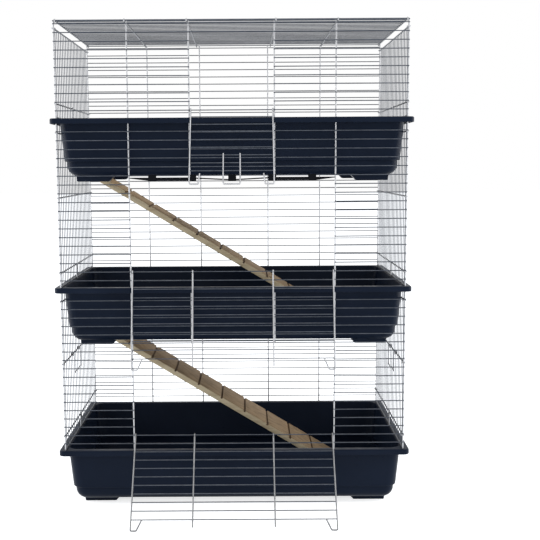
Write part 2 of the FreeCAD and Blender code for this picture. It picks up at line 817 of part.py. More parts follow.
tall_rows = rows_up_to(TALL_TOP - S.rim_skirt, S.wire_pitch)
short_rows = rows_up_to(S.roof_rail, S.top_pitch)
wide_opening = (WIDE_HINGE_ROW, WIDE_TOP_ROW, OUTER_POST, (), (INNER_POST,))
narrow_opening = (NARROW_HINGE_ROW, NARROW_TOP_ROW, INNER_POST, (OUTER_POST,), ())
loop_height = tall_rows[len(tall_rows) // 2] + S.wire_pitch / 2
tall_stiffeners = [tall_rows[1] - RAIL_EYE, loop_height, tall_rows[-1] - RAIL_EYE]
short_top = short_rows[-1] - S.top_pitch / 2
short_stiffeners = [short_rows[1] - RAIL_EYE, short_top]

bottom_front = keep(front_panel("bottom_front_panel", RIM, tall_rows, TALL_TOP, wide_opening))
bottom_back = keep(back_panel("bottom_back_panel", RIM, tall_rows, TALL_TOP))
bottom_left = keep(left_panel("bottom_left_panel", RIM, tall_stiffeners, TALL_TOP))
bottom_right = keep_mirrored("bottom_right_panel", bottom_left)
keep_above("middle_front_panel", bottom_front)
keep_above("middle_back_panel", bottom_back)
keep_above("middle_left_panel", bottom_left)
keep_above("middle_right_panel", bottom_right)

keep(front_panel("top_front_panel", TOP_RIM, short_rows, None, narrow_opening))
keep(back_panel("top_back_panel", TOP_RIM, short_rows, None))
top_left = keep(left_panel("top_left_panel", TOP_RIM, short_stiffeners, short_top + S.post_wire))
keep_mirrored("top_right_panel", top_left)
keep(roof_panel("roof_panel", TOP_RIM + S.roof_rail))

wide = wide_door("wide_door_pattern")
narrow = narrow_door("narrow_door_pattern")
hang("bottom_door", wide, RIM + WIDE_HINGE, lean_on_floor())
hang("middle_door", wide, MIDDLE_RIM + WIDE_HINGE, lean_on_rim(WIDE_HINGE))
hang("top_door", narrow, TOP_RIM + NARROW_HINGE, lean_on_rim(NARROW_HINGE))

rod_height = S.tier_pitch + FLOOR_TOP + S.rod_wire / 2 + S.seat_gap
lower_ramp = plank("lower_ramp")
lower_ramp.Placement = Placement(Vector(), Rotation(Vector(0, 1, 0), ramp_slope()))
keep(lower_ramp, -S.ramp_top_x, MIDDLE_Y + S.ramp_middle_y, rod_height)
keep_above("upper_ramp", lower_ramp)
rod_reach = S.ramp_width / 2 + S.hole_gap + S.rod_bearing
lower_rod = rod("Y", (0, 0, 0), rod_reach * 2, S.rod_wire, "lower_ramp_rod")
keep(lower_rod, -S.ramp_top_x, MIDDLE_Y + S.ramp_middle_y - rod_reach, rod_height)
keep_above("upper_ramp_rod", lower_rod)

clip_rail = MIDDLE_RIM + row_height(WIDE_TOP_ROW)
clips = doc.addObject("Part::Compound", "opening_clips")
clips.Links = [clip(f"clip_{step + 3}", S.clip_pitch * step, clip_rail) for step in CLIP_STEPS]
keep(clips)
strip = held_strip("opening_strip", OUTER_POST - S.post_wire / 2 - S.running_gap)
keep(strip, 0, MIDDLE_Y + STRIP_FRONT, clip_rail - STRIP_DROP)

left_loop = keep(side_loop("left_side_loop", RIM + loop_height))
keep_mirrored("right_side_loop", left_loop)

doc.recompute()
for item in doc.Objects:
    if "Invalid" in item.State or "Error" in item.State:
        raise ValueError(f"{item.Label} did not build")

os.makedirs("parts", exist_ok=True)
for node in nodes:
    shape = node.Shape
    if shape.isNull() or not shape.isValid() or not shape.Solids:
        raise ValueError(f"{node.Label} is not a valid solid")
    shape.exportStep(f"parts/{node.Label}.step")
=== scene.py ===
"""Dressed model of a three-tier rabbit cage: moulded trays, welded wire, grooved ramps."""

import json
import logging
import math
from dataclasses import dataclass, field
from enum import Enum
from typing import Any, Iterable

import bmesh
import bpy
from mathutils import Matrix, Vector


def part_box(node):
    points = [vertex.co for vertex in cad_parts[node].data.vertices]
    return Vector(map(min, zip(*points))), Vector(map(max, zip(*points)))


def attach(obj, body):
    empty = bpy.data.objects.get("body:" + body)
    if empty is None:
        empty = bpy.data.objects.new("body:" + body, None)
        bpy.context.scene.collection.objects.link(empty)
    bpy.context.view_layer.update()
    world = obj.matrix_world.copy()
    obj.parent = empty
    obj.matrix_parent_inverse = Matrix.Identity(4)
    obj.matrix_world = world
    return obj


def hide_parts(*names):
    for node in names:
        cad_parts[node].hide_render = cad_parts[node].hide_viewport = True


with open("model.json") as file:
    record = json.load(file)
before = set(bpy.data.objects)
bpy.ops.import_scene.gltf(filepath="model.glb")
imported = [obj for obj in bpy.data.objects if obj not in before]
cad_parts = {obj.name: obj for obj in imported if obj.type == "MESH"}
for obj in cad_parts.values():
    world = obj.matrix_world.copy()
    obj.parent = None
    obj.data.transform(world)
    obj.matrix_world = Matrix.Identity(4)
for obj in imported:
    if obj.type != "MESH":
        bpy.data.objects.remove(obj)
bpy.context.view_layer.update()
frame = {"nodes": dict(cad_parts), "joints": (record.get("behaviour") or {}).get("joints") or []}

LOG = logging.getLogger("rabbit_cage")

Pair = tuple[float, float]
Point = tuple[float, float, float]
Colour = tuple[float, float, float]
Input = Any

NOWHERE: Point = (0.0, 0.0, 0.0)
# The dark and the bright end of what a noise pattern mostly gives.
LOW_GREY, HIGH_GREY = 0.3, 0.7
# Angles in degrees from which an edge is shaded sharp.
WIRE_SHARP, TRAY_SHARP, PLANK_SHARP, SOLID_SHARP = 50.0, 32.0, 30.0, 35.0


class Socket(Enum):
    """Kinds of input that a node tree takes."""

    COUNT = "NodeSocketInt"
    SIZE = "NodeSocketFloat"
    PLACE = "NodeSocketVector"
    FINISH = "NodeSocketMaterial"


class Hand(Enum):
    """The two sides of the cage, by the sign of X."""

    LEFT = -1
    RIGHT = 1


class Face(Enum):
    """The two long sides of the cage."""

    FRONT = "front"
    BACK = "back"


class Tier(Enum):
    """The three floors of the cage."""

    BOTTOM = "bottom"
    MIDDLE = "middle"
    TOP = "top"

    @property
    def tall(self) -> bool:
        """Whether another tray stands on this tier."""
        return self is not Tier.TOP


@dataclass(frozen=True)
class Gauge:
    """Wire sizes and spacing of the cage, in metres."""

    rail: float = 0.0028
    post: float = 0.0042
    eye: float = 0.0036
    fine: float = 0.0022
    bead: float = 0.0036
    fine_bead: float = 0.003
    sink: float = 0.0004
    gap: float = 0.0003
    seat: float = 0.0001
    pitch: float = 0.0242
    top_pitch: float = 0.0232
    first: float = 0.020
    tall_rails: int = 18
    short_rails: int = 11
    tall_top: float = 0.4649
    roof_rail: float = 0.260
    outer_post: float = 0.2846
    inner_post: float = 0.1166
    wide_half: float = 0.280
    narrow_half: float = 0.112

    @property
    def rail_to_post(self) -> float:
        """Distance between the middles of a rail and the post that it is welded to."""
        return (self.rail + self.post) / 2 - self.sink

    @property
    def post_to_fine(self) -> float:
        """Distance between the middles of a stiffener and a thin upright."""
        return (self.post + self.fine) / 2 - self.sink

    @property
    def rail_eye(self) -> float:
        """Radius of an eye round a rail."""
        return (self.rail + self.eye) / 2 + self.gap

    @property
    def post_eye(self) -> float:
        """Radius of an eye round a post."""
        return (self.post + self.eye) / 2 + self.gap

    @property
    def beside(self) -> float:
        """Distance between the middles of two thick wires that run past each other."""
        return self.post + self.gap

    def rows(self, tier: Tier) -> list[float]:
        """Heights of a tier's rails above its rim."""
        count, pitch = (self.tall_rails, self.pitch) if tier.tall else (self.short_rails, self.top_pitch)
        return [self.first + pitch * index for index in range(count)]


GAUGE = Gauge()


def feed(tree: bpy.types.NodeTree, value: Input, socket: bpy.types.NodeSocket) -> None:
    """Link a socket to another one, or set its number.

    Args:
        tree: the tree that both are in.
        value: the other socket, or the number.
        socket: the input to feed.
    """
    if isinstance(value, bpy.types.NodeSocket):
        tree.links.new(value, socket)
    else:
        socket.default_value = value


class Shader:
    """A surface material under construction, with a Principled shader at its end."""

    def __init__(self, name: str, scale: Point = (1.0, 1.0, 1.0), turn: Point = NOWHERE) -> None:
        """Start a material that reads Object coordinates.

        Args:
            name: name of the material.
            scale: scale of the pattern along X, Y and Z.
            turn: rotation of the pattern.
        """
        self.material = bpy.data.materials.new(name)
        self.material.use_nodes = True
        self.tree = self.material.node_tree
        self.surface = self.tree.nodes["Principled BSDF"]
        place = self.tree.nodes.new("ShaderNodeTexCoord").outputs["Object"]
        mapping = self.node("ShaderNodeMapping", {"Vector": place, "Scale": scale, "Rotation": turn})
        self.place = mapping.outputs["Vector"]

    def node(self, kind: str, inputs: dict[str, Input]) -> bpy.types.Node:
        """Add a node.

        Args:
            kind: Blender's name for the node.
            inputs: sockets to link and numbers to set, by input name.

        Returns:
            The new node.
        """
        node = self.tree.nodes.new(kind)
        for name, value in inputs.items():
            feed(self.tree, value, node.inputs[name])
        return node

    def give(self, name: str, value: Input) -> None:
        """Feed one input of the surface."""
        feed(self.tree, value, self.surface.inputs[name])

    def noise(self, scale: float, detail: float, rough: float = 0.5) -> bpy.types.NodeSocket:
        """Add a noise pattern.

        Args:
            scale: spots per metre after the mapping.
            detail: number of finer layers.
            rough: strength of the finer layers.

        Returns:
            The pattern's grey value.
        """
        node = self.node("ShaderNodeTexNoise", {
            "Vector": self.place, "Scale": scale, "Detail": detail, "Roughness": rough,
        })
        return node.outputs["Fac"]

    def tint(self, value: bpy.types.NodeSocket, *stops: tuple[float, Colour]) -> None:
        """Colour the surface by a pattern.

        Args:
            value: the pattern's grey value.
            stops: places on the ramp and their colours.
        """
        node = self.node("ShaderNodeValToRGB", {"Fac": value})
        elements = node.color_ramp.elements
        while len(elements) < len(stops):
            elements.new(0.5)
        for element, (place, colour) in zip(elements, stops):
            element.position = place
            element.color = (*colour, 1.0)
        self.give("Base Color", node.outputs["Color"])

    def roughen(self, value: bpy.types.NodeSocket, low: float, high: float) -> None:
        """Set the roughness by a pattern.

        Args:
            value: the pattern's grey value.
            low: roughness where the pattern is dark.
            high: roughness where it is bright.
        """
        node = self.node("ShaderNodeMapRange", {
            "Value": value, "From Min": LOW_GREY, "From Max": HIGH_GREY, "To Min": low, "To Max": high,
        })
        self.give("Roughness", node.outputs["Result"])

    def bump(self, value: bpy.types.NodeSocket, depth: float, strength: float) -> None:
        """Raise the surface by a pattern.

        Args:
            value: height pattern.
            depth: height of the relief in metres.
            strength: strength of the effect.
        """
        node = self.node("ShaderNodeBump", {"Height": value, "Distance": depth, "Strength": strength})
        self.give("Normal", node.outputs["Normal"])


@dataclass(frozen=True)
class MouldedPlastic:
    """Injection-moulded plastic with a fine grain."""

    name: str
    dark: Colour
    light: Colour
    rough: Pair = (0.27, 0.40)
    specular: float = 0.05
    clouds: float = 7.0
    scuffs: float = 38.0
    grain: float = 950.0
    relief: float = 0.0002

    def material(self) -> bpy.types.Material:
        """Build the material.

        Returns:
            The material.
        """
        shader = Shader(self.name)
        shader.tint(shader.noise(self.clouds, 4.0), (LOW_GREY, self.dark), (HIGH_GREY, self.light))
        shader.roughen(shader.noise(self.scuffs, 6.0, 0.62), *self.rough)
        shader.give("Specular IOR Level", self.specular)
        shader.bump(shader.noise(self.grain, 2.0), self.relief, 0.22)
        return shader.material


@dataclass(frozen=True)
class BrightWire:
    """Drawn and zinc-plated steel."""

    name: str
    dark: Colour
    light: Colour
    rough: Pair = (0.26, 0.42)
    clouds: float = 55.0
    streaks: float = 420.0
    relief: float = 0.00008

    def material(self) -> bpy.types.Material:
        """Build the material.

        Returns:
            The material.
        """
        shader = Shader(self.name)
        shader.tint(shader.noise(self.clouds, 5.0, 0.6), (LOW_GREY, self.dark), (HIGH_GREY, self.light))
        shader.give("Metallic", 1.0)
        streak = shader.noise(self.streaks, 3.0, 0.65)
        shader.roughen(streak, *self.rough)
        shader.bump(streak, self.relief, 0.3)
        return shader.material


@dataclass(frozen=True)
class SawnWood:
    """Plain sawn softwood, its grain along a sloping plank."""

    name: str
    slope: float
    pale: Colour
    middle: Colour
    deep: Colour
    stretch: Point = (1.6, 26.0, 26.0)
    rings: float = 2.4
    fibres: float = 9.0
    rough: Pair = (0.62, 0.82)
    specular: float = 0.15
    relief: float = 0.0006

    def material(self) -> bpy.types.Material:
        """Build the material.

        Returns:
            The material.
        """
        shader = Shader(self.name, self.stretch, (0.0, -self.slope, 0.0))
        shader.tint(
            shader.noise(self.rings, 8.0, 0.62),
            (0.28, self.deep), (0.46, self.middle), (0.6, self.pale), (0.78, self.middle),
        )
        fibre = shader.noise(self.fibres, 5.0, 0.7)
        shader.roughen(fibre, *self.rough)
        shader.give("Specular IOR Level", self.specular)
        shader.bump(fibre, self.relief, 0.35)
        return shader.material


class Tree:
    """A geometry node tree under construction."""

    def __init__(self, name: str) -> None:
        """Start a tree that takes and gives geometry.

        Args:
            name: name of the tree.
        """
        self.group = bpy.data.node_groups.new(name, "GeometryNodeTree")
        for way in ("INPUT", "OUTPUT"):
            self.group.interface.new_socket("Geometry", in_out=way, socket_type="NodeSocketGeometry")
        self.inlet = self.group.nodes.new("NodeGroupInput")
        self.outlet = self.group.nodes.new("NodeGroupOutput")

    def take(self, kinds: dict[str, Socket]) -> list[bpy.types.NodeSocket]:
        """Add named inputs to the tree.

        Args:
            kinds: kind of each input, by its name.

        Returns:
            The new inputs.
        """
        for name, kind in kinds.items():
            self.group.interface.new_socket(name, in_out="INPUT", socket_type=kind.value)
        return [self.inlet.outputs[name] for name in kinds]

    def node(self, kind: str, inputs: dict[str, Input], **settings: Input) -> bpy.types.NodeSocket:
        """Add a node.

        Args:
            kind: Blender's name for the node.
            inputs: sockets to link and numbers to set, by input name.
            settings: properties of the node.

        Returns:
            The new node's first output in use.
        """
        node = self.group.nodes.new(kind)
        for name, value in settings.items():
            setattr(node, name, value)
        for name, value in inputs.items():
            socket = next(item for item in node.inputs if item.name == name and item.enabled)
            feed(self.group, value, socket)
        return next(item for item in node.outputs if item.enabled)

    def reckon(self, operation: str, *terms: Input) -> bpy.types.NodeSocket:
        """Add a Math node.

        Args:
            operation: what it does.
            terms: sockets or numbers that it takes.

        Returns:
            The result.
        """
        node = self.group.nodes.new("ShaderNodeMath")
        node.operation = operation
        for term, socket in zip(terms, node.inputs):
            feed(self.group, term, socket)
        return node.outputs[0]

    def points(self, count: Input, first: Input, step: Input) -> bpy.types.NodeSocket:
        """A row of points at equal steps."""
        inputs = {"Count": count, "Start Location": first, "Offset": step}
        return self.node("GeometryNodeMeshLine", inputs, mode="OFFSET")

    def copies(self, points: bpy.types.NodeSocket, shape: bpy.types.NodeSocket,
               **more: Input) -> bpy.types.NodeSocket:
        """The same shape at every point."""
        return self.node("GeometryNodeInstanceOnPoints", {"Points": points, "Instance": shape, **more})

    def real(self, shape: bpy.types.NodeSocket) -> bpy.types.NodeSocket:
        """Copies turned into faces and curves of their own."""
        return self.node("GeometryNodeRealizeInstances", {"Geometry": shape})

    def dress(self, shape: bpy.types.NodeSocket, finish: bpy.types.NodeSocket) -> bpy.types.NodeSocket:
        """A shape with one finish all over."""
        return self.node("GeometryNodeSetMaterial", {"Geometry": shape, "Material": finish})

    def tube(self, curve: bpy.types.NodeSocket, diameter: bpy.types.NodeSocket,
             sides: int) -> bpy.types.NodeSocket:
        """Sweep a round section along a curve.

        Args:
            curve: the middle line.
            diameter: thickness of the wire.
            sides: number of sides of the section.

        Returns:
            The closed tube.
        """
        radius = self.reckon("MULTIPLY", diameter, 0.5)
        section = self.node("GeometryNodeCurvePrimitiveCircle", {"Resolution": sides, "Radius": radius})
        return self.node("GeometryNodeCurveToMesh", {
            "Curve": curve, "Profile Curve": section, "Fill Caps": True,
        })

    def close(self, shape: bpy.types.NodeSocket, join: bool) -> bpy.types.NodeTree:
        """End the tree in real faces with one finish.

        Args:
            shape: what the tree has made.
            join: whether the geometry that came in is kept beside it.

        Returns:
            The finished tree.
        """
        [finish] = self.take({"Finish": Socket.FINISH})
        last = self.dress(self.real(shape), finish)
        if join:
            both = self.group.nodes.new("GeometryNodeJoinGeometry")
            for part in (self.inlet.outputs["Geometry"], last):
                self.group.links.new(part, both.inputs[0])
            last = both.outputs[0]
        self.group.links.new(last, self.outlet.inputs["Geometry"])
        return self.group


@dataclass
class Trees:
    """The node trees that draw wires, eyes, welds and grooves."""

    sides: int = 10
    wire_points: int = 9
    eye_points: int = 24
    bend_points: int = 6
    bead_segments: int = 8
    bead_rings: int = 5
    row: bpy.types.NodeTree = field(init=False)
    eyes: bpy.types.NodeTree = field(init=False)
    welds: bpy.types.NodeTree = field(init=False)
    bent: bpy.types.NodeTree = field(init=False)
    plank: bpy.types.NodeTree = field(init=False)

    def __post_init__(self) -> None:
        """Build every tree once."""
        self.row = self.wire_row()
        self.eyes = self.eye_row()
        self.welds = self.weld_grid()
        self.bent = self.bent_wire()
        self.plank = self.grooved_plank()

    def wire_row(self) -> bpy.types.NodeTree:
        """Draw a row of equal straight wires, each with a slight bow of its own.

        Returns:
            The tree.
        """
        tree = Tree("wire_row")
        count, first, step, run, diameter, bow, seed = tree.take({
            "Count": Socket.COUNT, "First": Socket.PLACE, "Step": Socket.PLACE, "Run": Socket.PLACE,
            "Diameter": Socket.SIZE, "Bow": Socket.PLACE, "Seed": Socket.COUNT,
        })
        line = tree.node("GeometryNodeCurvePrimitiveLine", {"End": run})
        fine = tree.node("GeometryNodeResampleCurve", {"Curve": line, "Count": self.wire_points})
        curves = tree.real(tree.copies(tree.points(count, first, step), fine))
        limits = {"Min": -1.0, "Max": 1.0, "Seed": seed}
        chance = tree.node("FunctionNodeRandomValue", limits, data_type="FLOAT")
        own = tree.node("GeometryNodeFieldOnDomain", {"Value": chance}, domain="CURVE", data_type="FLOAT")
        along = tree.node("GeometryNodeSplineParameter", {})
        arch = tree.reckon("SINE", tree.reckon("MULTIPLY", along, math.pi))
        reach = tree.reckon("MULTIPLY", arch, own)
        shift = tree.node("ShaderNodeVectorMath", {"Vector": bow, "Scale": reach}, operation="SCALE")
        bowed = tree.node("GeometryNodeSetPosition", {"Geometry": curves, "Offset": shift})
        return tree.close(tree.tube(bowed, diameter, self.sides), join=True)

    def eye_row(self) -> bpy.types.NodeTree:
        """Draw a row of wire eyes about a common direction.

        Returns:
            The tree.
        """
        tree = Tree("eye_row")
        count, first, step, axis, radius, diameter = tree.take({
            "Count": Socket.COUNT, "First": Socket.PLACE, "Step": Socket.PLACE, "Axis": Socket.PLACE,
            "Radius": Socket.SIZE, "Diameter": Socket.SIZE,
        })
        circle = {"Resolution": self.eye_points, "Radius": radius}
        ring = tree.node("GeometryNodeCurvePrimitiveCircle", circle)
        turned = tree.node("FunctionNodeAlignRotationToVector", {"Vector": axis}, axis="Z")
        eye = tree.tube(ring, diameter, self.sides)
        return tree.close(tree.copies(tree.points(count, first, step), eye, Rotation=turned), join=True)

    def weld_grid(self) -> bpy.types.NodeTree:
        """Draw a grid of small weld beads where two rows of wires cross.

        Returns:
            The tree.
        """
        tree = Tree("weld_grid")
        count, first, step, rows, rise, diameter = tree.take({
            "Count": Socket.COUNT, "First": Socket.PLACE, "Step": Socket.PLACE,
            "Rows": Socket.COUNT, "Rise": Socket.PLACE, "Diameter": Socket.SIZE,
        })
        column = tree.points(rows, NOWHERE, rise)
        grid = tree.real(tree.copies(tree.points(count, first, step), column))
        bead = tree.node("GeometryNodeMeshUVSphere", {
            "Segments": self.bead_segments, "Rings": self.bead_rings,
            "Radius": tree.reckon("MULTIPLY", diameter, 0.5),
        })
        return tree.close(tree.copies(grid, bead), join=True)

    def bent_wire(self) -> bpy.types.NodeTree:
        """Draw wires that follow the edges of a mesh, each corner bent to a radius.

        Returns:
            The tree.
        """
        tree = Tree("bent_wire")
        bend, diameter = tree.take({"Bend": Socket.SIZE, "Diameter": Socket.SIZE})
        path = tree.node("GeometryNodeMeshToCurve", {"Mesh": tree.inlet.outputs["Geometry"]})
        corners = {"Curve": path, "Count": self.bend_points, "Radius": bend}
        rounded = tree.node("GeometryNodeFilletCurve", corners, mode="POLY")
        return tree.close(tree.tube(rounded, diameter, self.sides), join=False)

    def grooved_plank(self) -> bpy.types.NodeTree:
        """Saw grooves across the top of a flat plank along X.

        Returns:
            The tree.
        """
        tree = Tree("grooved_plank")
        middle, size, count, first, step, slot, groove_shade, finish = tree.take({
            "Middle": Socket.PLACE, "Size": Socket.PLACE, "Grooves": Socket.COUNT,
            "First Groove": Socket.PLACE, "Groove Step": Socket.PLACE, "Groove Size": Socket.PLACE,
            "Groove Finish": Socket.FINISH, "Finish": Socket.FINISH,
        })
        board = tree.node("GeometryNodeMeshCube", {"Size": size})
        moved = tree.node("GeometryNodeTransform", {"Geometry": board, "Translation": middle})
        # The groove beds take their own darker finish, painted shade.
        saw = tree.dress(tree.node("GeometryNodeMeshCube", {"Size": slot}), groove_shade)
        cuts = tree.real(tree.copies(tree.points(count, first, step), saw))
        sawn = tree.group.nodes.new("GeometryNodeMeshBoolean")
        sawn.operation, sawn.solver = "DIFFERENCE", "EXACT"
        tree.group.links.new(tree.dress(moved, finish), sawn.inputs[0])
        tree.group.links.new(cuts, sawn.inputs[1])
        tree.group.links.new(sawn.outputs[0], tree.outlet.inputs["Geometry"])
        return tree.group


def add_tree(piece: bpy.types.Object, tree: bpy.types.NodeTree, values: dict[str, Input]) -> None:
    """Give a piece a node tree, its inputs set by the identifiers of their sockets.

    Args:
        piece: the object.
        tree: the tree.
        values: what to set, by the name of the input.
    """
    modifier = piece.modifiers.new(tree.name, "NODES")
    modifier.node_group = tree
    for item in tree.interface.items_tree:
        if item.item_type == "SOCKET" and item.in_out == "INPUT" and item.name in values:
            value = values[item.name]
            modifier[item.identifier] = list(value) if isinstance(value, (tuple, Vector)) else value


def new_object(name: str, mesh: bpy.types.Mesh) -> bpy.types.Object:
    """Put a mesh into the scene under a name.

    Args:
        name: name of the object.
        mesh: its faces.

    Returns:
        The new object.
    """
    piece = bpy.data.objects.new(name, mesh)
    bpy.context.scene.collection.objects.link(piece)
    return piece


def mesh_of(name: str, faces: bmesh.types.BMesh) -> bpy.types.Mesh:
    """Turn finished faces into a mesh.

    Args:
        name: name of the mesh.
        faces: the faces, which are used up.

    Returns:
        The mesh.
    """
    mesh = bpy.data.meshes.new(name)
    faces.to_mesh(mesh)
    faces.free()
    return mesh


def make_plain(piece: bpy.types.Object, sharp: float) -> None:
    """Turn an object's modifiers into plain faces.

    Args:
        piece: the object.
        sharp: angle in degrees from which an edge stays sharp.
    """
    graph = bpy.context.evaluated_depsgraph_get()
    mesh = bpy.data.meshes.new_from_object(piece.evaluated_get(graph))
    piece.modifiers.clear()
    old = piece.data
    piece.data = mesh
    bpy.data.meshes.remove(old)
    mesh.name = piece.name
    mesh.shade_smooth()
    mesh.set_sharp_from_angle(angle=math.radians(sharp))


def ease_edges(piece: bpy.types.Object, width: float, angle: float = 30.0) -> None:
    """Round an object's edges a little.

    Args:
        piece: the object.
        width: width of the rounding.
        angle: angle in degrees from which an edge is rounded.
    """
    bevel = piece.modifiers.new("eased_edges", "BEVEL")
    bevel.width = width
    bevel.segments = 2
    bevel.limit_method = "ANGLE"
    bevel.angle_limit = math.radians(angle)


def settle(piece: bpy.types.Object, body: str, nodes: Iterable[str]) -> bpy.types.Object:
    """Make a finished piece ride on its body in place of its nodes.

    Args:
        piece: the finished object.
        body: the body that it moves with.
        nodes: the nodes that it stands for.

    Returns:
        The same object.
    """
    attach(piece, body)
    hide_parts(*nodes)
    LOG.info("%s: %d faces", piece.name, len(piece.data.polygons))
    return piece


def hinge_of(body: str) -> Vector:
    """Place of the joint that carries a body."""
    return Vector(next(item for item in frame["joints"] if item["child"] == body)["pos_m"])


@dataclass(frozen=True)
class ZincPaintedTones:
    """One zinc in two tones that paint light and shade: the rail tone is darkened by painted shade, and the
    post tone is lightened by a painted highlight.
    """

    # Darker tone, painted shade: rails, stiffeners, thin uprights and welds.
    rail: bpy.types.Material
    # Lighter tone, painted highlight: thick uprights, eyes and bent wires.
    post: bpy.types.Material


class WireWork:
    """A piece of welded wire that is drawn row by row."""

    def __init__(self, node: str, trees: Trees, zinc: ZincPaintedTones) -> None:
        """Start an empty piece.

        Args:
            node: the node that the piece stands for.
            trees: the node trees that draw it.
            zinc: the wire's two tones, painted highlight and painted shade.
        """
        self.node = node
        self.trees = trees
        self.zinc = zinc
        self.piece = new_object(f"{node}_wire", bpy.data.meshes.new(node))

    def bend(self, paths: Iterable[Iterable[Point]], radius: float, diameter: float) -> None:
        """Draw wires along paths, before any row is added.

        Args:
            paths: corner points of each wire.
            radius: bend radius.
            diameter: thickness of the wire.
        """
        points: list[Point] = []
        edges: list[tuple[int, int]] = []
        for path in paths:
            start = len(points)
            points.extend(path)
            edges.extend((index, index + 1) for index in range(start, len(points) - 1))
        self.piece.data.from_pydata(points, edges, [])
        # Bent wires take the painted highlight tone.
        add_tree(self.piece, self.trees.bent, {
            "Bend": radius, "Diameter": diameter, "Finish": self.zinc.post,
        })

    def row(self, count: int, first: Point, step: Point, run: Point, diameter: float,
            bow: Point = NOWHERE, seed: int = 1) -> None:
        """Draw a row of straight wires.

        Args:
            count: number of wires.
            first: start of the first wire.
            step: from one wire to the next.
            run: from a wire's start to its end.
            diameter: thickness of the wire.
            bow: largest sideways bow.
            seed: seed of the bows.
        """
        # Thick upright wires take the painted highlight tone; rails, stiffeners and thin uprights take the
        # painted shade tone.
        upright = abs(run[2]) > abs(run[0]) + abs(run[1]) and diameter > GAUGE.fine
        add_tree(self.piece, self.trees.row, {
            "Count": count, "First": first, "Step": step, "Run": run, "Diameter": diameter,
            "Bow": bow, "Seed": seed, "Finish": self.zinc.post if upright else self.zinc.rail,
        })

    def eyes(self, count: int, first: Point, step: Point, axis: Point, radius: float) -> None:
        """Draw a row of eyes.

        Args:
            count: number of eyes.
            first: middle of the first one.
            step: from one eye to the next.
            axis: direction of the rod in the eye.
            radius: radius of the eye's middle line.
        """
        # Eyes take the painted highlight tone.
        add_tree(self.piece, self.trees.eyes, {
            "Count": count, "First": first, "Step": step, "Axis": axis,
            "Radius": radius, "Diameter": GAUGE.eye, "Finish": self.zinc.post,
        })

    def welds(self, count: int, first: Point, step: Point, rows: int, rise: Point,
              diameter: float = GAUGE.bead) -> None:
        """Draw a grid of weld beads.

        Args:
            count: beads in a line.
            first: the first bead.
            step: from one bead to the next.
            rows: number of lines.
            rise: from one line to the next.
            diameter: size of a bead.
        """
        # Weld beads take the painted shade tone.
        add_tree(self.piece, self.trees.welds, {
            "Count": count, "First": first, "Step": step, "Rows": rows, "Rise": rise,
            "Diameter": diameter, "Finish": self.zinc.rail,
        })


class WirePiece:
    """A piece of welded wire in place of one node."""

    @property
    def node(self) -> str:
        """Name of the piece's node."""
        raise NotImplementedError

    @property
    def body(self) -> str:
        """Name of the body that the piece moves with."""
        return "cage"

    def draw(self, work: WireWork) -> None:
        """Draw the piece's wires."""
        raise NotImplementedError

    def placing(self) -> Matrix:
        """Turn and shift from the drawing to the place at rest."""
        return Matrix.Identity(4)

    def build(self, trees: Trees, zinc: ZincPaintedTones) -> bpy.types.Object:
        """Draw the piece and make it a plain mesh that rides on its body.

        Args:
            trees: the node trees.
            zinc: the wire's two tones, painted highlight and painted shade.

        Returns:
            The finished piece.
        """
        work = WireWork(self.node, trees, zinc)
        self.draw(work)
        make_plain(work.piece, WIRE_SHARP)
        work.piece.data.transform(self.placing())
        return settle(work.piece, self.body, [self.node])


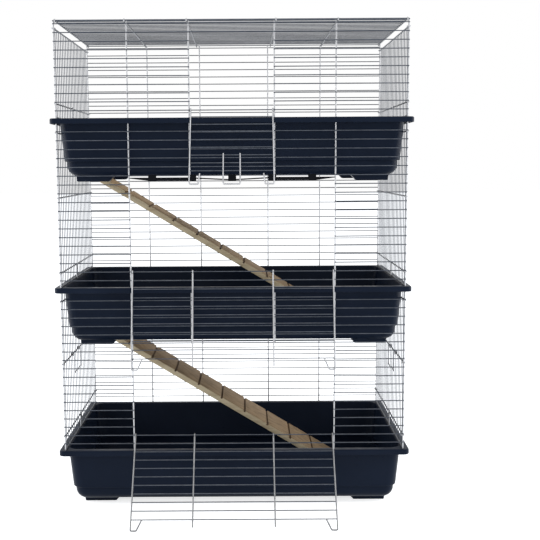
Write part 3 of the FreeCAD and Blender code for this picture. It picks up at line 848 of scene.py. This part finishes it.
@dataclass
class FlatPanel(WirePiece):
    """A front or back panel: long rails welded across upright posts."""

    tier: Tier
    face: Face
    wide_rows: tuple[int, int] = (1, 12)
    narrow_rows: tuple[int, int] = (0, 9)
    stub_bow: float = 0.0003
    stub_seed: int = 3
    back_bow: float = 0.0004
    back_seed: int = 11
    rows: list[float] = field(init=False)
    rail_y: float = field(init=False)
    post_y: float = field(init=False)
    rim: float = field(init=False)
    end: float = field(init=False)

    def __post_init__(self) -> None:
        """Read the panel's place from its node."""
        low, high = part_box(self.node)
        front = self.face is Face.FRONT
        self.rows = GAUGE.rows(self.tier)
        self.rail_y = low.y + GAUGE.rail / 2 if front else high.y - GAUGE.rail / 2
        self.post_y = high.y - GAUGE.post / 2 if front else low.y + GAUGE.post / 2
        self.rim = low.z - GAUGE.seat
        self.end = high.x

    @property
    def node(self) -> str:
        """Name of the panel's node."""
        return f"{self.tier.value}_{self.face.value}_panel"

    @property
    def corner(self) -> float:
        """Place of the corner posts."""
        return self.end - GAUGE.post / 2

    @property
    def post_top(self) -> float:
        """Height of the upper ends of the posts."""
        return self.rim + (GAUGE.tall_top if self.tier.tall else GAUGE.roof_rail)

    def long_rails(self, work: WireWork, heights: Iterable[float], bow: float = 0.0, seed: int = 1) -> None:
        """Draw rails from corner to corner.

        Args:
            work: the piece.
            heights: heights of the rails above the rim.
            bow: largest bow of a rail, up or down.
            seed: seed of the first rail's bow.
        """
        for index, height in enumerate(heights):
            work.row(1, (-self.end, self.rail_y, self.rim + height), NOWHERE, (2 * self.end, 0, 0),
                     GAUGE.rail, (0, 0, bow), seed + index)

    def post_pairs(self, work: WireWork, places: Iterable[float], bottom: float, rows: list[float]) -> None:
        """Draw posts at both sides up to the panel's top, and their welds with some rails.

        Args:
            work: the piece.
            places: distances of the posts from the middle.
            bottom: height of the posts' lower ends.
            rows: heights above the rim of the rails that they cross.
        """
        outward = 1 if self.rail_y > self.post_y else -1
        y = self.post_y + outward * (GAUGE.post - GAUGE.sink) / 2
        for x in places:
            across = (2 * x, 0, 0)
            work.row(2, (-x, self.post_y, bottom), across, (0, 0, self.post_top - bottom), GAUGE.post)
            work.welds(2, (-x, y, self.rim + rows[0]), across, len(rows), (0, 0, rows[1] - rows[0]))

    def draw_front(self, work: WireWork) -> None:
        """Draw a front panel round its door opening.

        Args:
            work: the piece.
        """
        hinge, top = self.wide_rows if self.tier.tall else self.narrow_rows
        jamb = GAUGE.outer_post if self.tier.tall else GAUGE.inner_post
        self.long_rails(work, self.rows[:hinge + 1] + self.rows[top:])
        edge = jamb - GAUGE.post / 2
        rise = self.rows[1] - self.rows[0]
        for start in (-self.end, edge):
            first = (start, self.rail_y, self.rim + self.rows[hinge + 1])
            work.row(top - hinge - 1, first, (0, 0, rise), (self.end - edge, 0, 0), GAUGE.rail,
                     (0, 0, self.stub_bow), self.stub_seed)
        posts = sorted({self.corner, GAUGE.outer_post, jamb})
        self.post_pairs(work, posts, self.rim + GAUGE.seat, self.rows)
        if self.tier.tall:
            self.post_pairs(work, [GAUGE.inner_post], self.rim + self.rows[top], self.rows[top:])

    def draw(self, work: WireWork) -> None:
        """Draw the panel.

        Args:
            work: the piece.
        """
        if self.face is Face.FRONT:
            self.draw_front(work)
        else:
            self.long_rails(work, self.rows, self.back_bow, self.back_seed)
            posts = (self.corner, GAUGE.outer_post, GAUGE.narrow_half)
            self.post_pairs(work, posts, self.rim + GAUGE.seat, self.rows)
        if not self.tier.tall:
            self.long_rails(work, [GAUGE.roof_rail])


@dataclass
class SidePanel(WirePiece):
    """A side panel: thin uprights welded to stiffeners that end in eyes."""

    tier: Tier
    hand: Hand
    wires: int = 22
    brace_wire: int = 9
    bow: float = 0.0005
    seed: int = 5

    @property
    def node(self) -> str:
        """Name of the panel's node."""
        return f"{self.tier.value}_{self.hand.name.lower()}_panel"

    def stiffeners(self) -> list[float]:
        """Find the heights of the stiffeners with eyes.

        Returns:
            Heights above the rim.
        """
        rows = GAUGE.rows(self.tier)
        half_row = (rows[1] - rows[0]) / 2
        if self.tier.tall:
            return [rows[1] - GAUGE.rail_eye, rows[len(rows) // 2] + half_row, rows[-1] - GAUGE.rail_eye]
        return [rows[1] - GAUGE.rail_eye, rows[-1] - half_row]

    def draw(self, work: WireWork) -> None:
        """Draw the panel.

        Args:
            work: the piece.
        """
        low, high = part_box(self.node)
        side = self.hand.value
        eye_reach = GAUGE.post_eye + GAUGE.eye / 2
        x = (high.x - eye_reach) if side > 0 else (low.x + eye_reach)
        front, back = low.y + eye_reach, high.y - eye_reach
        rim = low.z - GAUGE.seat
        half = (back - front) / 2 + GAUGE.rail_to_post
        step = 2 * half / self.wires
        first_y = (front + back) / 2 - half + step / 2
        outside = x + side * GAUGE.post_to_fine
        work.row(self.wires, (outside, first_y, low.z), (0, step, 0), (0, 0, high.z - low.z), GAUGE.fine,
                 (0, self.bow, 0), self.seed + side)
        heights = self.stiffeners()
        reach = (back - front) - 2 * GAUGE.post_eye
        contact = x + side * (GAUGE.post - GAUGE.sink) / 2
        for level in (GAUGE.post / 2 + GAUGE.seat, *heights):
            z = rim + level
            work.row(1, (x, front + GAUGE.post_eye, z), NOWHERE, (0, reach, 0), GAUGE.post)
            work.welds(self.wires, (contact, first_y, z), (0, step, 0), 1, NOWHERE, GAUGE.fine_bead)
        for level in heights:
            work.eyes(2, (x, front, rim + level), (0, back - front, 0), (0, 0, 1), GAUGE.post_eye)
        brace = (x - side * (GAUGE.post - GAUGE.sink), first_y + step * self.brace_wire, low.z)
        work.row(1, brace, NOWHERE, (0, 0, heights[0] + GAUGE.post), GAUGE.post)


@dataclass
class Roof(WirePiece):
    """The roof: wires from side to side on stiffeners with eyes on the top rails."""

    wires: int = 22
    bow: float = 0.0005
    seed: int = 17

    @property
    def node(self) -> str:
        """Name of the roof's node."""
        return "roof_panel"

    def draw(self, work: WireWork) -> None:
        """Draw the roof.

        Args:
            work: the piece.
        """
        low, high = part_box(self.node)
        eye_reach = GAUGE.rail_eye + GAUGE.eye / 2
        front, back = low.y + eye_reach, high.y - eye_reach
        z = high.z - eye_reach
        step = (back - front) / self.wires
        first_y = front + step / 2
        first = (low.x, first_y, z + GAUGE.rail_to_post)
        work.row(self.wires, first, (0, step, 0), (high.x - low.x, 0, 0), GAUGE.rail,
                 (0, self.bow, 0), self.seed)
        start = front + GAUGE.rail_eye
        reach = back - front - 2 * GAUGE.rail_eye
        contact = z + (GAUGE.post - GAUGE.sink) / 2
        corner = high.x - GAUGE.post / 2
        for x in (corner - GAUGE.beside, GAUGE.outer_post + GAUGE.beside, GAUGE.inner_post + GAUGE.beside):
            across = (2 * x, 0, 0)
            work.row(2, (-x, start, z), across, (0, reach, 0), GAUGE.post)
            work.welds(2, (-x, first_y, contact), across, self.wires, (0, step, 0))
            for y in (front, back):
                work.eyes(2, (-x, y, z), across, (1, 0, 0), GAUGE.rail_eye)


@dataclass
class Door(WirePiece):
    """A drop-down door, drawn hanging straight from its hinge and then leant out."""

    tier: Tier
    half: float
    rails: int
    inner_half: float = 0.0
    tongue_half: float = 0.0
    tongue_rail: int = 6
    first: float = GAUGE.pitch
    tip: float = 0.031
    inner_tip: float = 0.022
    flat: float = 0.016
    slant: float = 0.014
    latch_return: float = 0.031
    bend: float = 0.004

    @property
    def node(self) -> str:
        """Name of the door's node."""
        return f"{self.tier.value}_door"

    @property
    def body(self) -> str:
        """Name of the door's body."""
        return self.node

    @property
    def reach(self) -> float:
        """Distance from the hinge to the ends of the latches."""
        return self.drop(self.rails) + self.tip

    def drop(self, rail: int) -> float:
        """Distance from the hinge to one of the rails, counted from 1."""
        return self.first + GAUGE.pitch * (rail - 1)

    def paths(self) -> list[list[Point]]:
        """Find the corner points of the bent latches and of the tongue.

        Returns:
            The points of each wire.
        """
        reach = self.reach
        found: list[list[Point]] = []
        for side in (-1, 1):
            x = side * self.half
            tip_x = x - side * self.flat
            found.append([
                (x, 0, -GAUGE.rail_eye), (x, 0, -reach),
                (tip_x, 0, -reach), (tip_x - side * self.slant, 0, self.latch_return - reach),
            ])
        if self.tongue_half:
            x = self.tongue_half
            top = GAUGE.rail - self.drop(self.tongue_rail)
            found.append([(-x, 0, top), (-x, 0, -reach), (x, 0, -reach), (x, 0, top)])
        return found

    def placing(self) -> Matrix:
        """Find the turn and shift from the drawing to the door's place at rest.

        Returns:
            The matrix of both.
        """
        hinge = hinge_of(self.body)
        hinge.x = 0.0
        low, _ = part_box(self.node)
        lean = math.acos((hinge.z - low.z - GAUGE.post / 2) / self.reach)
        return Matrix.Translation(hinge) @ Matrix.Rotation(-lean, 4, "X")

    def draw(self, work: WireWork) -> None:
        """Draw the door.

        Args:
            work: the piece.
        """
        work.bend(self.paths(), self.bend, GAUGE.post)
        end = self.half + GAUGE.post / 2
        down = (0, 0, -GAUGE.pitch)
        work.row(self.rails, (-end, GAUGE.rail_to_post, -self.first), down, (2 * end, 0, 0), GAUGE.rail)
        contact = GAUGE.post / 2 - GAUGE.sink / 2
        uprights = [self.half]
        if self.inner_half:
            x = self.inner_half
            uprights.append(x)
            length = self.drop(self.rails) + self.inner_tip - GAUGE.rail_eye
            work.row(2, (-x, 0, -GAUGE.rail_eye), (2 * x, 0, 0), (0, 0, -length), GAUGE.post)
        for x in uprights:
            work.eyes(2, (-x, 0, 0), (2 * x, 0, 0), (1, 0, 0), GAUGE.rail_eye)
            work.welds(2, (-x, contact, -self.first), (2 * x, 0, 0), self.rails, down)
        if self.tongue_half:
            x = self.tongue_half
            work.welds(2, (-x, contact, -self.drop(self.tongue_rail)), (2 * x, 0, 0),
                       self.rails - self.tongue_rail + 1, down)


@dataclass
class SideLoop(WirePiece):
    """A wire loop that hangs by two eyes on a side panel's middle stiffener."""

    hand: Hand
    drop: float = 0.057
    bend: float = 0.006

    @property
    def node(self) -> str:
        """Name of the loop's node."""
        return f"{self.hand.name.lower()}_side_loop"

    def draw(self, work: WireWork) -> None:
        """Draw the loop.

        Args:
            work: the piece.
        """
        low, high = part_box(self.node)
        eye_reach = GAUGE.beside + GAUGE.eye / 2
        side = self.hand.value
        bar_x = (high.x - eye_reach) if side > 0 else (low.x + eye_reach)
        x = bar_x - side * GAUGE.beside
        top = high.z - eye_reach
        front, back = low.y + GAUGE.post / 2, high.y - GAUGE.post / 2
        end = top - self.drop
        path = [(x, front, top), (x, front, end), (x, back, end), (x, back, top)]
        work.bend([path], self.bend, GAUGE.post)
        work.eyes(2, (bar_x, front, top), (0, back - front, 0), (0, 1, 0), GAUGE.beside)


@dataclass
class Tray:
    """A moulded floor tray with a turned-down rim, a stepped wall and four feet."""

    tier: Tier
    hole: bool
    corner_steps: int = 12
    rim_corner: float = 0.018
    rim_skirt: float = 0.015
    plate: float = 0.003
    rim_edge: float = 0.004
    overhang: float = 0.020
    height: float = 0.174
    tub_corner: float = 0.035
    taper: float = 0.010
    step_height: float = 0.056
    step_inset: float = 0.0055
    base_round: float = 0.030
    foot_height: float = 0.016
    foot: Pair = (0.108, 0.035)
    foot_inset: Pair = (0.0585, 0.075)
    foot_slope: float = 0.002
    foot_chamfer: float = 0.016
    foot_round: float = 0.0025
    hole_length: float = 0.278
    hole_head: float = 0.013
    hole_gap: float = 0.008
    hole_corner: float = 0.004
    ease: float = 0.0012
    ease_lean: float = 0.1
    half_x: float = field(init=False)
    half_y: float = field(init=False)
    middle: Vector = field(init=False)

    def __post_init__(self) -> None:
        """Read the tray's place from its node."""
        low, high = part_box(self.node)
        self.half_x, self.half_y = (high.x - low.x) / 2, (high.y - low.y) / 2
        self.middle = Vector(((low.x + high.x) / 2, (low.y + high.y) / 2, low.z))

    @property
    def node(self) -> str:
        """Name of the tray's node."""
        return f"{self.tier.value}_tray"

    def arc(self, centre: Pair, radius: float, start: float, end: float, steps: int) -> list[Pair]:
        """Find the points of an arc in the tray's section.

        Args:
            centre: inset and height of the middle.
            radius: radius of the arc.
            start: first angle in degrees, from inward, upwards.
            end: last angle in degrees.
            steps: number of straight pieces.

        Returns:
            Insets and heights.
        """
        found = []
        for index in range(steps + 1):
            angle = math.radians(start + (end - start) * index / steps)
            found.append((centre[0] + radius * math.cos(angle), centre[1] + radius * math.sin(angle)))
        return found

    def section(self) -> list[Point]:
        """Find the tray's section from the middle of its floor over the rim to its underside.

        Returns:
            Inset from the rim, height above the feet and corner radius of each ring.
        """
        ease, step, base, tub = self.ease, self.step_height, self.base_round, self.tub_corner
        above = self.overhang + self.taper
        below = above + self.step_inset
        floor = self.foot_height + self.plate
        inner_round = base - self.plate
        ledge = step + self.plate
        inner = tub - self.plate
        wall, lip = below + self.plate, above + self.plate
        mouth = self.overhang + self.plate + self.taper * self.plate / (self.height + self.plate - ledge)
        edge, skirt = self.rim_edge, self.height - self.rim_skirt
        under = self.height - self.plate
        rings: list[Point] = []

        def rings_of(points: Iterable[Pair], inset: float, corner: float) -> None:
            """Keep points, their corner radius shrinking as they go inwards from an inset."""
            rings.extend((x, z, corner - (x - inset)) for x, z in points)

        rings_of(self.arc((wall + inner_round, floor + inner_round), inner_round, 270, 180, 6), wall, inner)
        rings_of(self.arc((wall + ease, ledge - ease), ease, 180, 90, 2), wall, inner)
        rings_of(self.arc((lip + ease, ledge + ease), ease, 270, 180, 2), lip, inner)
        rings_of(self.arc((mouth - ease, self.height - ease), ease, 0, 90, 3), mouth, inner)
        rings_of(self.arc((edge, self.height - edge), edge, 90, 180, 6), 0.0, self.rim_corner)
        rings_of(self.arc((ease, skirt + ease), ease, 180, 270, 3), 0.0, self.rim_corner)
        rings_of([(self.plate, skirt), (self.plate, under)], 0.0, self.rim_corner)
        rings.append((self.overhang, under, tub))
        rings_of([(above - ease * self.ease_lean, step + ease), (above + ease, step)], above, tub)
        rings_of([(below - ease, step), (below, step - ease)], below, tub)
        rings_of(self.arc((below + base, self.foot_height + base), base, 180, 270, 7), below, tub)
        return rings

    def ring(self, half: Pair, corner: float, z: float) -> list[Vector]:
        """Find the points of a rectangle with round corners.

        Args:
            half: half of its length and of its width.
            corner: corner radius.
            z: height.

        Returns:
            The points, counter-clockwise from above.
        """
        points = []
        for quarter in range(4):
            sign_x = 1 if quarter in (0, 3) else -1
            sign_y = 1 if quarter in (0, 1) else -1
            for index in range(self.corner_steps + 1):
                angle = math.pi / 2 * (quarter + index / self.corner_steps)
                x = sign_x * (half[0] - corner) + corner * math.cos(angle)
                y = sign_y * (half[1] - corner) + corner * math.sin(angle)
                points.append(self.middle + Vector((x, y, z)))
        return points

    def add_feet(self, mesh: bmesh.types.BMesh) -> None:
        """Add the four tapered feet, their edges eased.

        Args:
            mesh: the tray's faces.
        """
        half_x, half_y = self.foot[0] / 2, self.foot[1] / 2
        top = self.foot_height + self.plate / 2
        eased = []
        for sign_x, sign_y in ((-1, -1), (-1, 1), (1, -1), (1, 1)):
            x = sign_x * (self.half_x - self.foot_inset[0] - half_x)
            y = sign_y * (self.half_y - self.foot_inset[1] - half_y)
            loops = []
            for z, chamfer, slope in ((top, 0.0, 0.0), (0.0, self.foot_chamfer, self.foot_slope)):
                left, right = sorted((sign_x * (chamfer - half_x), sign_x * (half_x - slope)))
                far = half_y - slope
                corners = ((left, -far), (right, -far), (right, far), (left, far))
                places = (self.middle + Vector((x + a, y + b, z)) for a, b in corners)
                loops.append([mesh.verts.new(place) for place in places])
            high, low = loops
            faces = [mesh.faces.new(high), mesh.faces.new(low[::-1])]
            for index in range(4):
                after = (index + 1) % 4
                faces.append(mesh.faces.new((low[index], low[after], high[after], high[index])))
            eased.extend({edge for face in faces[1:] for edge in face.edges} - set(faces[0].edges))
        bmesh.ops.bevel(mesh, geom=eased, offset=self.foot_round, segments=3, profile=0.5, affect="EDGES")

    def ramp_hole(self) -> bpy.types.Object:
        """Make the block that leaves a ramp's hole in the floor.

        Returns:
            The block.
        """
        ramp = "lower_ramp" if self.tier is Tier.MIDDLE else "upper_ramp"
        low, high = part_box(ramp)
        left, base = hinge_of(ramp).x - self.hole_head, self.middle.z
        start = Vector((left, low.y - self.hole_gap, base))
        end = Vector((left + self.hole_length, high.y + self.hole_gap, base + self.step_height))
        size = end - start
        block = bmesh.new()
        bmesh.ops.create_cube(block, size=1.0)
        for vertex in block.verts:
            vertex.co = start + Vector((vertex.co[axis] + 0.5) * size[axis] for axis in range(3))
        upright = [edge for edge in block.edges if abs(edge.verts[0].co.z - edge.verts[1].co.z) > self.ease]
        bmesh.ops.bevel(block, geom=upright, offset=self.hole_corner, segments=4, profile=0.5,
                        affect="EDGES")
        return new_object(f"{self.node}_hole", mesh_of("ramp_hole", block))

    def shell(self) -> bpy.types.Mesh:
        """Join the rings of the section to a closed shell.

        Returns:
            The shell, without hole and feet.
        """
        shell = bmesh.new()
        loops = []
        for inset, z, corner in self.section():
            points = self.ring((self.half_x - inset, self.half_y - inset), corner, z)
            loops.append([shell.verts.new(point) for point in points])
        for inside, outside in zip(loops, loops[1:]):
            count = len(inside)
            for index in range(count):
                after = (index + 1) % count
                shell.faces.new((inside[index], inside[after], outside[after], outside[index]))
        shell.faces.new(loops[0])
        shell.faces.new(loops[-1][::-1])
        bmesh.ops.recalc_face_normals(shell, faces=shell.faces)
        return mesh_of(self.node, shell)

    def build(self, finish: bpy.types.Material) -> bpy.types.Object:
        """Mould the tray.

        Args:
            finish: material of the tray.

        Returns:
            The finished piece.
        """
        piece = new_object(f"{self.node}_moulding", self.shell())
        piece.data.materials.append(finish)
        if self.hole:
            cutter = self.ramp_hole()
            cut = piece.modifiers.new("ramp_hole", "BOOLEAN")
            cut.operation, cut.solver = "DIFFERENCE", "EXACT"
            cut.object = cutter
            make_plain(piece, TRAY_SHARP)
            bpy.data.objects.remove(cutter)
        whole = bmesh.new()
        whole.from_mesh(piece.data)
        self.add_feet(whole)
        whole.to_mesh(piece.data)
        whole.free()
        make_plain(piece, TRAY_SHARP)
        return settle(piece, "cage", [self.node])


@dataclass
class Ramp:
    """A grooved plank that hangs on its rod and leans on the floor below."""

    node: str
    length: float = 0.890
    head: float = 0.006
    width: float = 0.170
    thick: float = 0.016
    sink: float = 0.002
    grooves: int = 10
    groove_first: float = 0.0345
    groove_pitch: float = 0.0835
    groove_width: float = 0.006
    groove_depth: float = 0.004
    saw_over: float = 0.02
    ease: float = 0.0011
    lit_edge_facing: float = 0.7
    # Wood tones: the top is darker from wear and from painted shade, the groove beds are darkened by
    # painted shade, and the front and back faces are lightened by painted light.
    tints: dict[str, tuple[Colour, Colour, Colour]] = field(default_factory=lambda: {
        "worn_top": ((0.38, 0.265, 0.155), (0.305, 0.21, 0.12), (0.20, 0.13, 0.072)),
        "groove": ((0.21, 0.13, 0.065), (0.16, 0.097, 0.048), (0.11, 0.064, 0.032)),
        "sawn_edge": ((0.74, 0.62, 0.42), (0.65, 0.53, 0.345), (0.50, 0.385, 0.235)),
    })

    def slope(self) -> float:
        """Find the angle of the plank at rest, from the height of its node.

        Returns:
            The angle in radians.
        """
        low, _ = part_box(self.node)
        drop = hinge_of(self.node).z - low.z
        under = self.thick / 2 + self.sink
        return math.asin(drop / math.hypot(self.length, under)) - math.atan2(under, self.length)

    def build(self, trees: Trees) -> bpy.types.Object:
        """Saw the plank, dress it and lay it in its place.

        Args:
            trees: the node trees.

        Returns:
            The finished piece.
        """
        slope = self.slope()
        wood, groove_shade, edge = (SawnWood(f"{self.node}_{name}", slope, *tints).material()
                           for name, tints in self.tints.items())
        piece = new_object(f"{self.node}_plank", bpy.data.meshes.new(self.node))
        add_tree(piece, trees.plank, {
            "Middle": ((self.length - self.head) / 2, 0.0, -self.sink),
            "Size": (self.length + self.head, self.width, self.thick),
            "Grooves": self.grooves,
            "First Groove": (self.groove_first, 0.0, self.thick / 2 - self.sink),
            "Groove Step": (self.groove_pitch, 0.0, 0.0),
            "Groove Size": (self.groove_width, self.width + self.saw_over, 2 * self.groove_depth),
            "Groove Finish": groove_shade,
            "Finish": wood,
        })
        ease_edges(piece, self.ease)
        make_plain(piece, PLANK_SHARP)
        mesh = piece.data
        mesh.materials.append(edge)
        # Faces that look to the front or back take the lighter tone, painted light.
        for face in mesh.polygons:
            if abs(face.normal.y) > self.lit_edge_facing and mesh.materials[face.material_index] == wood:
                face.material_index = len(mesh.materials) - 1
        mesh.transform(Matrix.Translation(hinge_of(self.node)) @ Matrix.Rotation(slope, 4, "Y"))
        return settle(piece, self.node, [self.node])


@dataclass
class EasedSolid:
    """A node that keeps its shape and gets eased edges."""

    node: str
    slot: str
    ease: float
    merge: float = 1e-6
    flat: float = 1.0
    edge: float = 40.0

    def build(self, finish: bpy.types.Material) -> bpy.types.Object:
        """Ease the edges of a copy of the node.

        Args:
            finish: material of the piece.

        Returns:
            The finished piece.
        """
        copy = bmesh.new()
        copy.from_mesh(frame["nodes"][self.node].data)
        bmesh.ops.remove_doubles(copy, verts=copy.verts, dist=self.merge)
        flat = math.radians(self.flat)
        bmesh.ops.dissolve_limit(copy, angle_limit=flat, verts=copy.verts, edges=copy.edges)
        piece = new_object(f"{self.node}_eased", mesh_of(self.node, copy))
        piece.data.materials.clear()
        piece.data.materials.append(finish)
        ease_edges(piece, self.ease, self.edge)
        make_plain(piece, SOLID_SHARP)
        return settle(piece, "cage", [self.node])


@dataclass(frozen=True)
class Lamp:
    """A soft rectangular lamp: its place, the point it faces, its face in metres, its power in watts."""

    name: str
    place: Point
    size: Pair
    power: float
    aim: Point = (0.0, -0.1, 0.75)

    def build(self) -> None:
        """Set up the lamp."""
        data = bpy.data.lights.new(self.name, "AREA")
        data.shape = "RECTANGLE"
        data.size, data.size_y = self.size
        data.energy = self.power
        lamp = bpy.data.objects.new(self.name, data)
        facing = (Vector(self.aim) - Vector(self.place)).to_track_quat("-Z", "Y")
        lamp.matrix_world = Matrix.Translation(self.place) @ facing.to_matrix().to_4x4()
        bpy.context.scene.collection.objects.link(lamp)


@dataclass
class Studio:
    """Pale floor, soft light and the camera at the photograph's place."""

    lens: float = 61.53
    sensor: float = 36.0
    shift: Pair = (0.0485, 0.0103)
    eye: Point = (0.0333, -2.7463, 0.9803)
    pitch: float = 6.829
    yaw: float = -0.065
    roll: float = -0.333
    sky: Colour = (0.93, 0.96, 1.0)
    sky_light: float = 0.8
    floor_half: float = 30.0
    paper: Colour = (0.86, 0.87, 0.88)
    paper_rough: float = 0.9
    glow: Colour = (0.74, 0.74, 0.74)
    lamps: tuple[Lamp, ...] = (
        Lamp("overhead", (0.0, -0.9, 3.4), (2.6, 2.0), 22.0, aim=(0.0, 0.1, 0.8)),
        Lamp("left_bank", (-2.5, 0.1, 1.0), (2.0, 2.0), 36.0),
        Lamp("right_bank", (2.5, 0.1, 1.0), (2.0, 2.0), 34.0),
    )

    def camera(self) -> None:
        """Set up the camera."""
        data = bpy.data.cameras.new("photo_camera")
        data.lens = self.lens
        data.sensor_width = self.sensor
        data.shift_x, data.shift_y = self.shift
        camera = bpy.data.objects.new("photo_camera", data)
        turn = (
            Matrix.Rotation(math.radians(-self.yaw), 4, "Z")
            @ Matrix.Rotation(math.radians(90.0 - self.pitch), 4, "X")
            @ Matrix.Rotation(math.radians(self.roll), 4, "Z")
        )
        camera.matrix_world = Matrix.Translation(self.eye) @ turn
        bpy.context.scene.collection.objects.link(camera)
        bpy.context.scene.camera = camera

    def backdrop_mix(self, tree: bpy.types.NodeTree) -> bpy.types.NodeSocket:
        """Add nodes that tell rays that see the backdrop from rays that only light it.

        Args:
            tree: the material's or world's nodes.

        Returns:
            One for camera, glossy and transmission rays.
        """
        path = tree.nodes.new("ShaderNodeLightPath")
        most = path.outputs["Is Camera Ray"]
        for name in ("Is Glossy Ray", "Is Transmission Ray"):
            node = tree.nodes.new("ShaderNodeMath")
            node.operation = "MAXIMUM"
            tree.links.new(most, node.inputs[0])
            tree.links.new(path.outputs[name], node.inputs[1])
            most = node.outputs[0]
        return most

    def world(self) -> None:
        """White surroundings that light the cage softly."""
        world = bpy.data.worlds.new("studio")
        bpy.context.scene.world = world
        world.use_nodes = True
        tree = world.node_tree
        seen = tree.nodes["Background"]
        lit = tree.nodes.new("ShaderNodeBackground")
        for node, colour, strength in ((seen, (1.0, 1.0, 1.0), 1.0), (lit, self.sky, self.sky_light)):
            node.inputs["Color"].default_value = (*colour, 1.0)
            node.inputs["Strength"].default_value = strength
        mix = tree.nodes.new("ShaderNodeMixShader")
        tree.links.new(self.backdrop_mix(tree), mix.inputs["Fac"])
        tree.links.new(lit.outputs[0], mix.inputs[1])
        tree.links.new(seen.outputs[0], mix.inputs[2])
        tree.links.new(mix.outputs[0], tree.nodes["World Output"].inputs["Surface"])

    def floor(self) -> None:
        """A wide pale floor that keeps the cage's shadow."""
        half = self.floor_half
        corners = [(-half, -half, 0), (half, -half, 0), (half, half, 0), (-half, half, 0)]
        data = bpy.data.meshes.new("floor")
        data.from_pydata(corners, [], [(0, 1, 2, 3)])
        material = bpy.data.materials.new("pale_floor")
        material.use_nodes = True
        tree = material.node_tree
        paper = tree.nodes["Principled BSDF"]
        paper.inputs["Base Color"].default_value = (*self.paper, 1.0)
        paper.inputs["Roughness"].default_value = self.paper_rough
        paper.inputs["Specular IOR Level"].default_value = 0.0
        glow = tree.nodes.new("ShaderNodeEmission")
        tree.links.new(self.backdrop_mix(tree), glow.inputs["Strength"])
        glow.inputs["Color"].default_value = (*self.glow, 1.0)
        both = tree.nodes.new("ShaderNodeAddShader")
        tree.links.new(paper.outputs[0], both.inputs[0])
        tree.links.new(glow.outputs[0], both.inputs[1])
        tree.links.new(both.outputs[0], tree.nodes["Material Output"].inputs["Surface"])
        data.materials.append(material)
        new_object("floor", data)

    def build(self) -> None:
        """Set up camera, floor and light."""
        bpy.context.scene.view_settings.view_transform = "Standard"
        self.camera()
        self.world()
        self.floor()
        for lamp in self.lamps:
            lamp.build()


def main() -> None:
    """Build the cage piece by piece."""
    logging.basicConfig(level=logging.INFO, format="%(name)s %(message)s")
    trees = Trees()
    navy = MouldedPlastic("navy_plastic", (0.0072, 0.0118, 0.0238), (0.0098, 0.0156, 0.0305)).material()
    black = MouldedPlastic(
        "black_plastic", (0.004, 0.0045, 0.006), (0.007, 0.0075, 0.010), rough=(0.38, 0.5),
    ).material()
    # The rail tone is the zinc darkened by painted shade; the post tone is the same zinc lightened by a
    # painted highlight.
    zinc = ZincPaintedTones(
        rail=BrightWire("zinc_rail", (0.056, 0.063, 0.078), (0.093, 0.103, 0.122)).material(),
        post=BrightWire("zinc_post", (0.36, 0.365, 0.38), (0.46, 0.465, 0.48)).material(),
    )
    steel = BrightWire("plain_steel", (0.36, 0.36, 0.37), (0.5, 0.5, 0.51), rough=(0.3, 0.5)).material()
    for tier in Tier:
        Tray(tier, hole=tier is not Tier.BOTTOM).build(navy)
        for face in Face:
            FlatPanel(tier, face).build(trees, zinc)
        for hand in Hand:
            SidePanel(tier, hand).build(trees, zinc)
    Roof().build(trees, zinc)
    # The bottom door's uprights take a darker copy of the post tone, painted shade.
    shade_dimmed = ZincPaintedTones(zinc.rail, BrightWire("zinc_dull", (0.18, 0.183, 0.19), (0.25, 0.253, 0.26)).material())
    for tier, wire in ((Tier.BOTTOM, shade_dimmed), (Tier.MIDDLE, zinc)):
        Door(tier, GAUGE.wide_half, rails=10, inner_half=GAUGE.narrow_half).build(trees, wire)
    Door(
        Tier.TOP, GAUGE.narrow_half, rails=8, tongue_half=0.0225, first=0.0198, tip=0.0416, flat=0.024,
        slant=0.0032,
    ).build(trees, zinc)
    for hand in Hand:
        SideLoop(hand).build(trees, zinc)
    for node in ("lower_ramp", "upper_ramp"):
        Ramp(node).build(trees)
        EasedSolid(f"{node}_rod", "rod_steel", ease=0.0005).build(steel)
    EasedSolid("opening_clips", "clip_plastic", ease=0.0007).build(black)
    EasedSolid("opening_strip", "clip_plastic", ease=0.0004).build(black)
    Studio().build()
    LOG.info("cage complete")


if __name__ == "__main__":
    main()
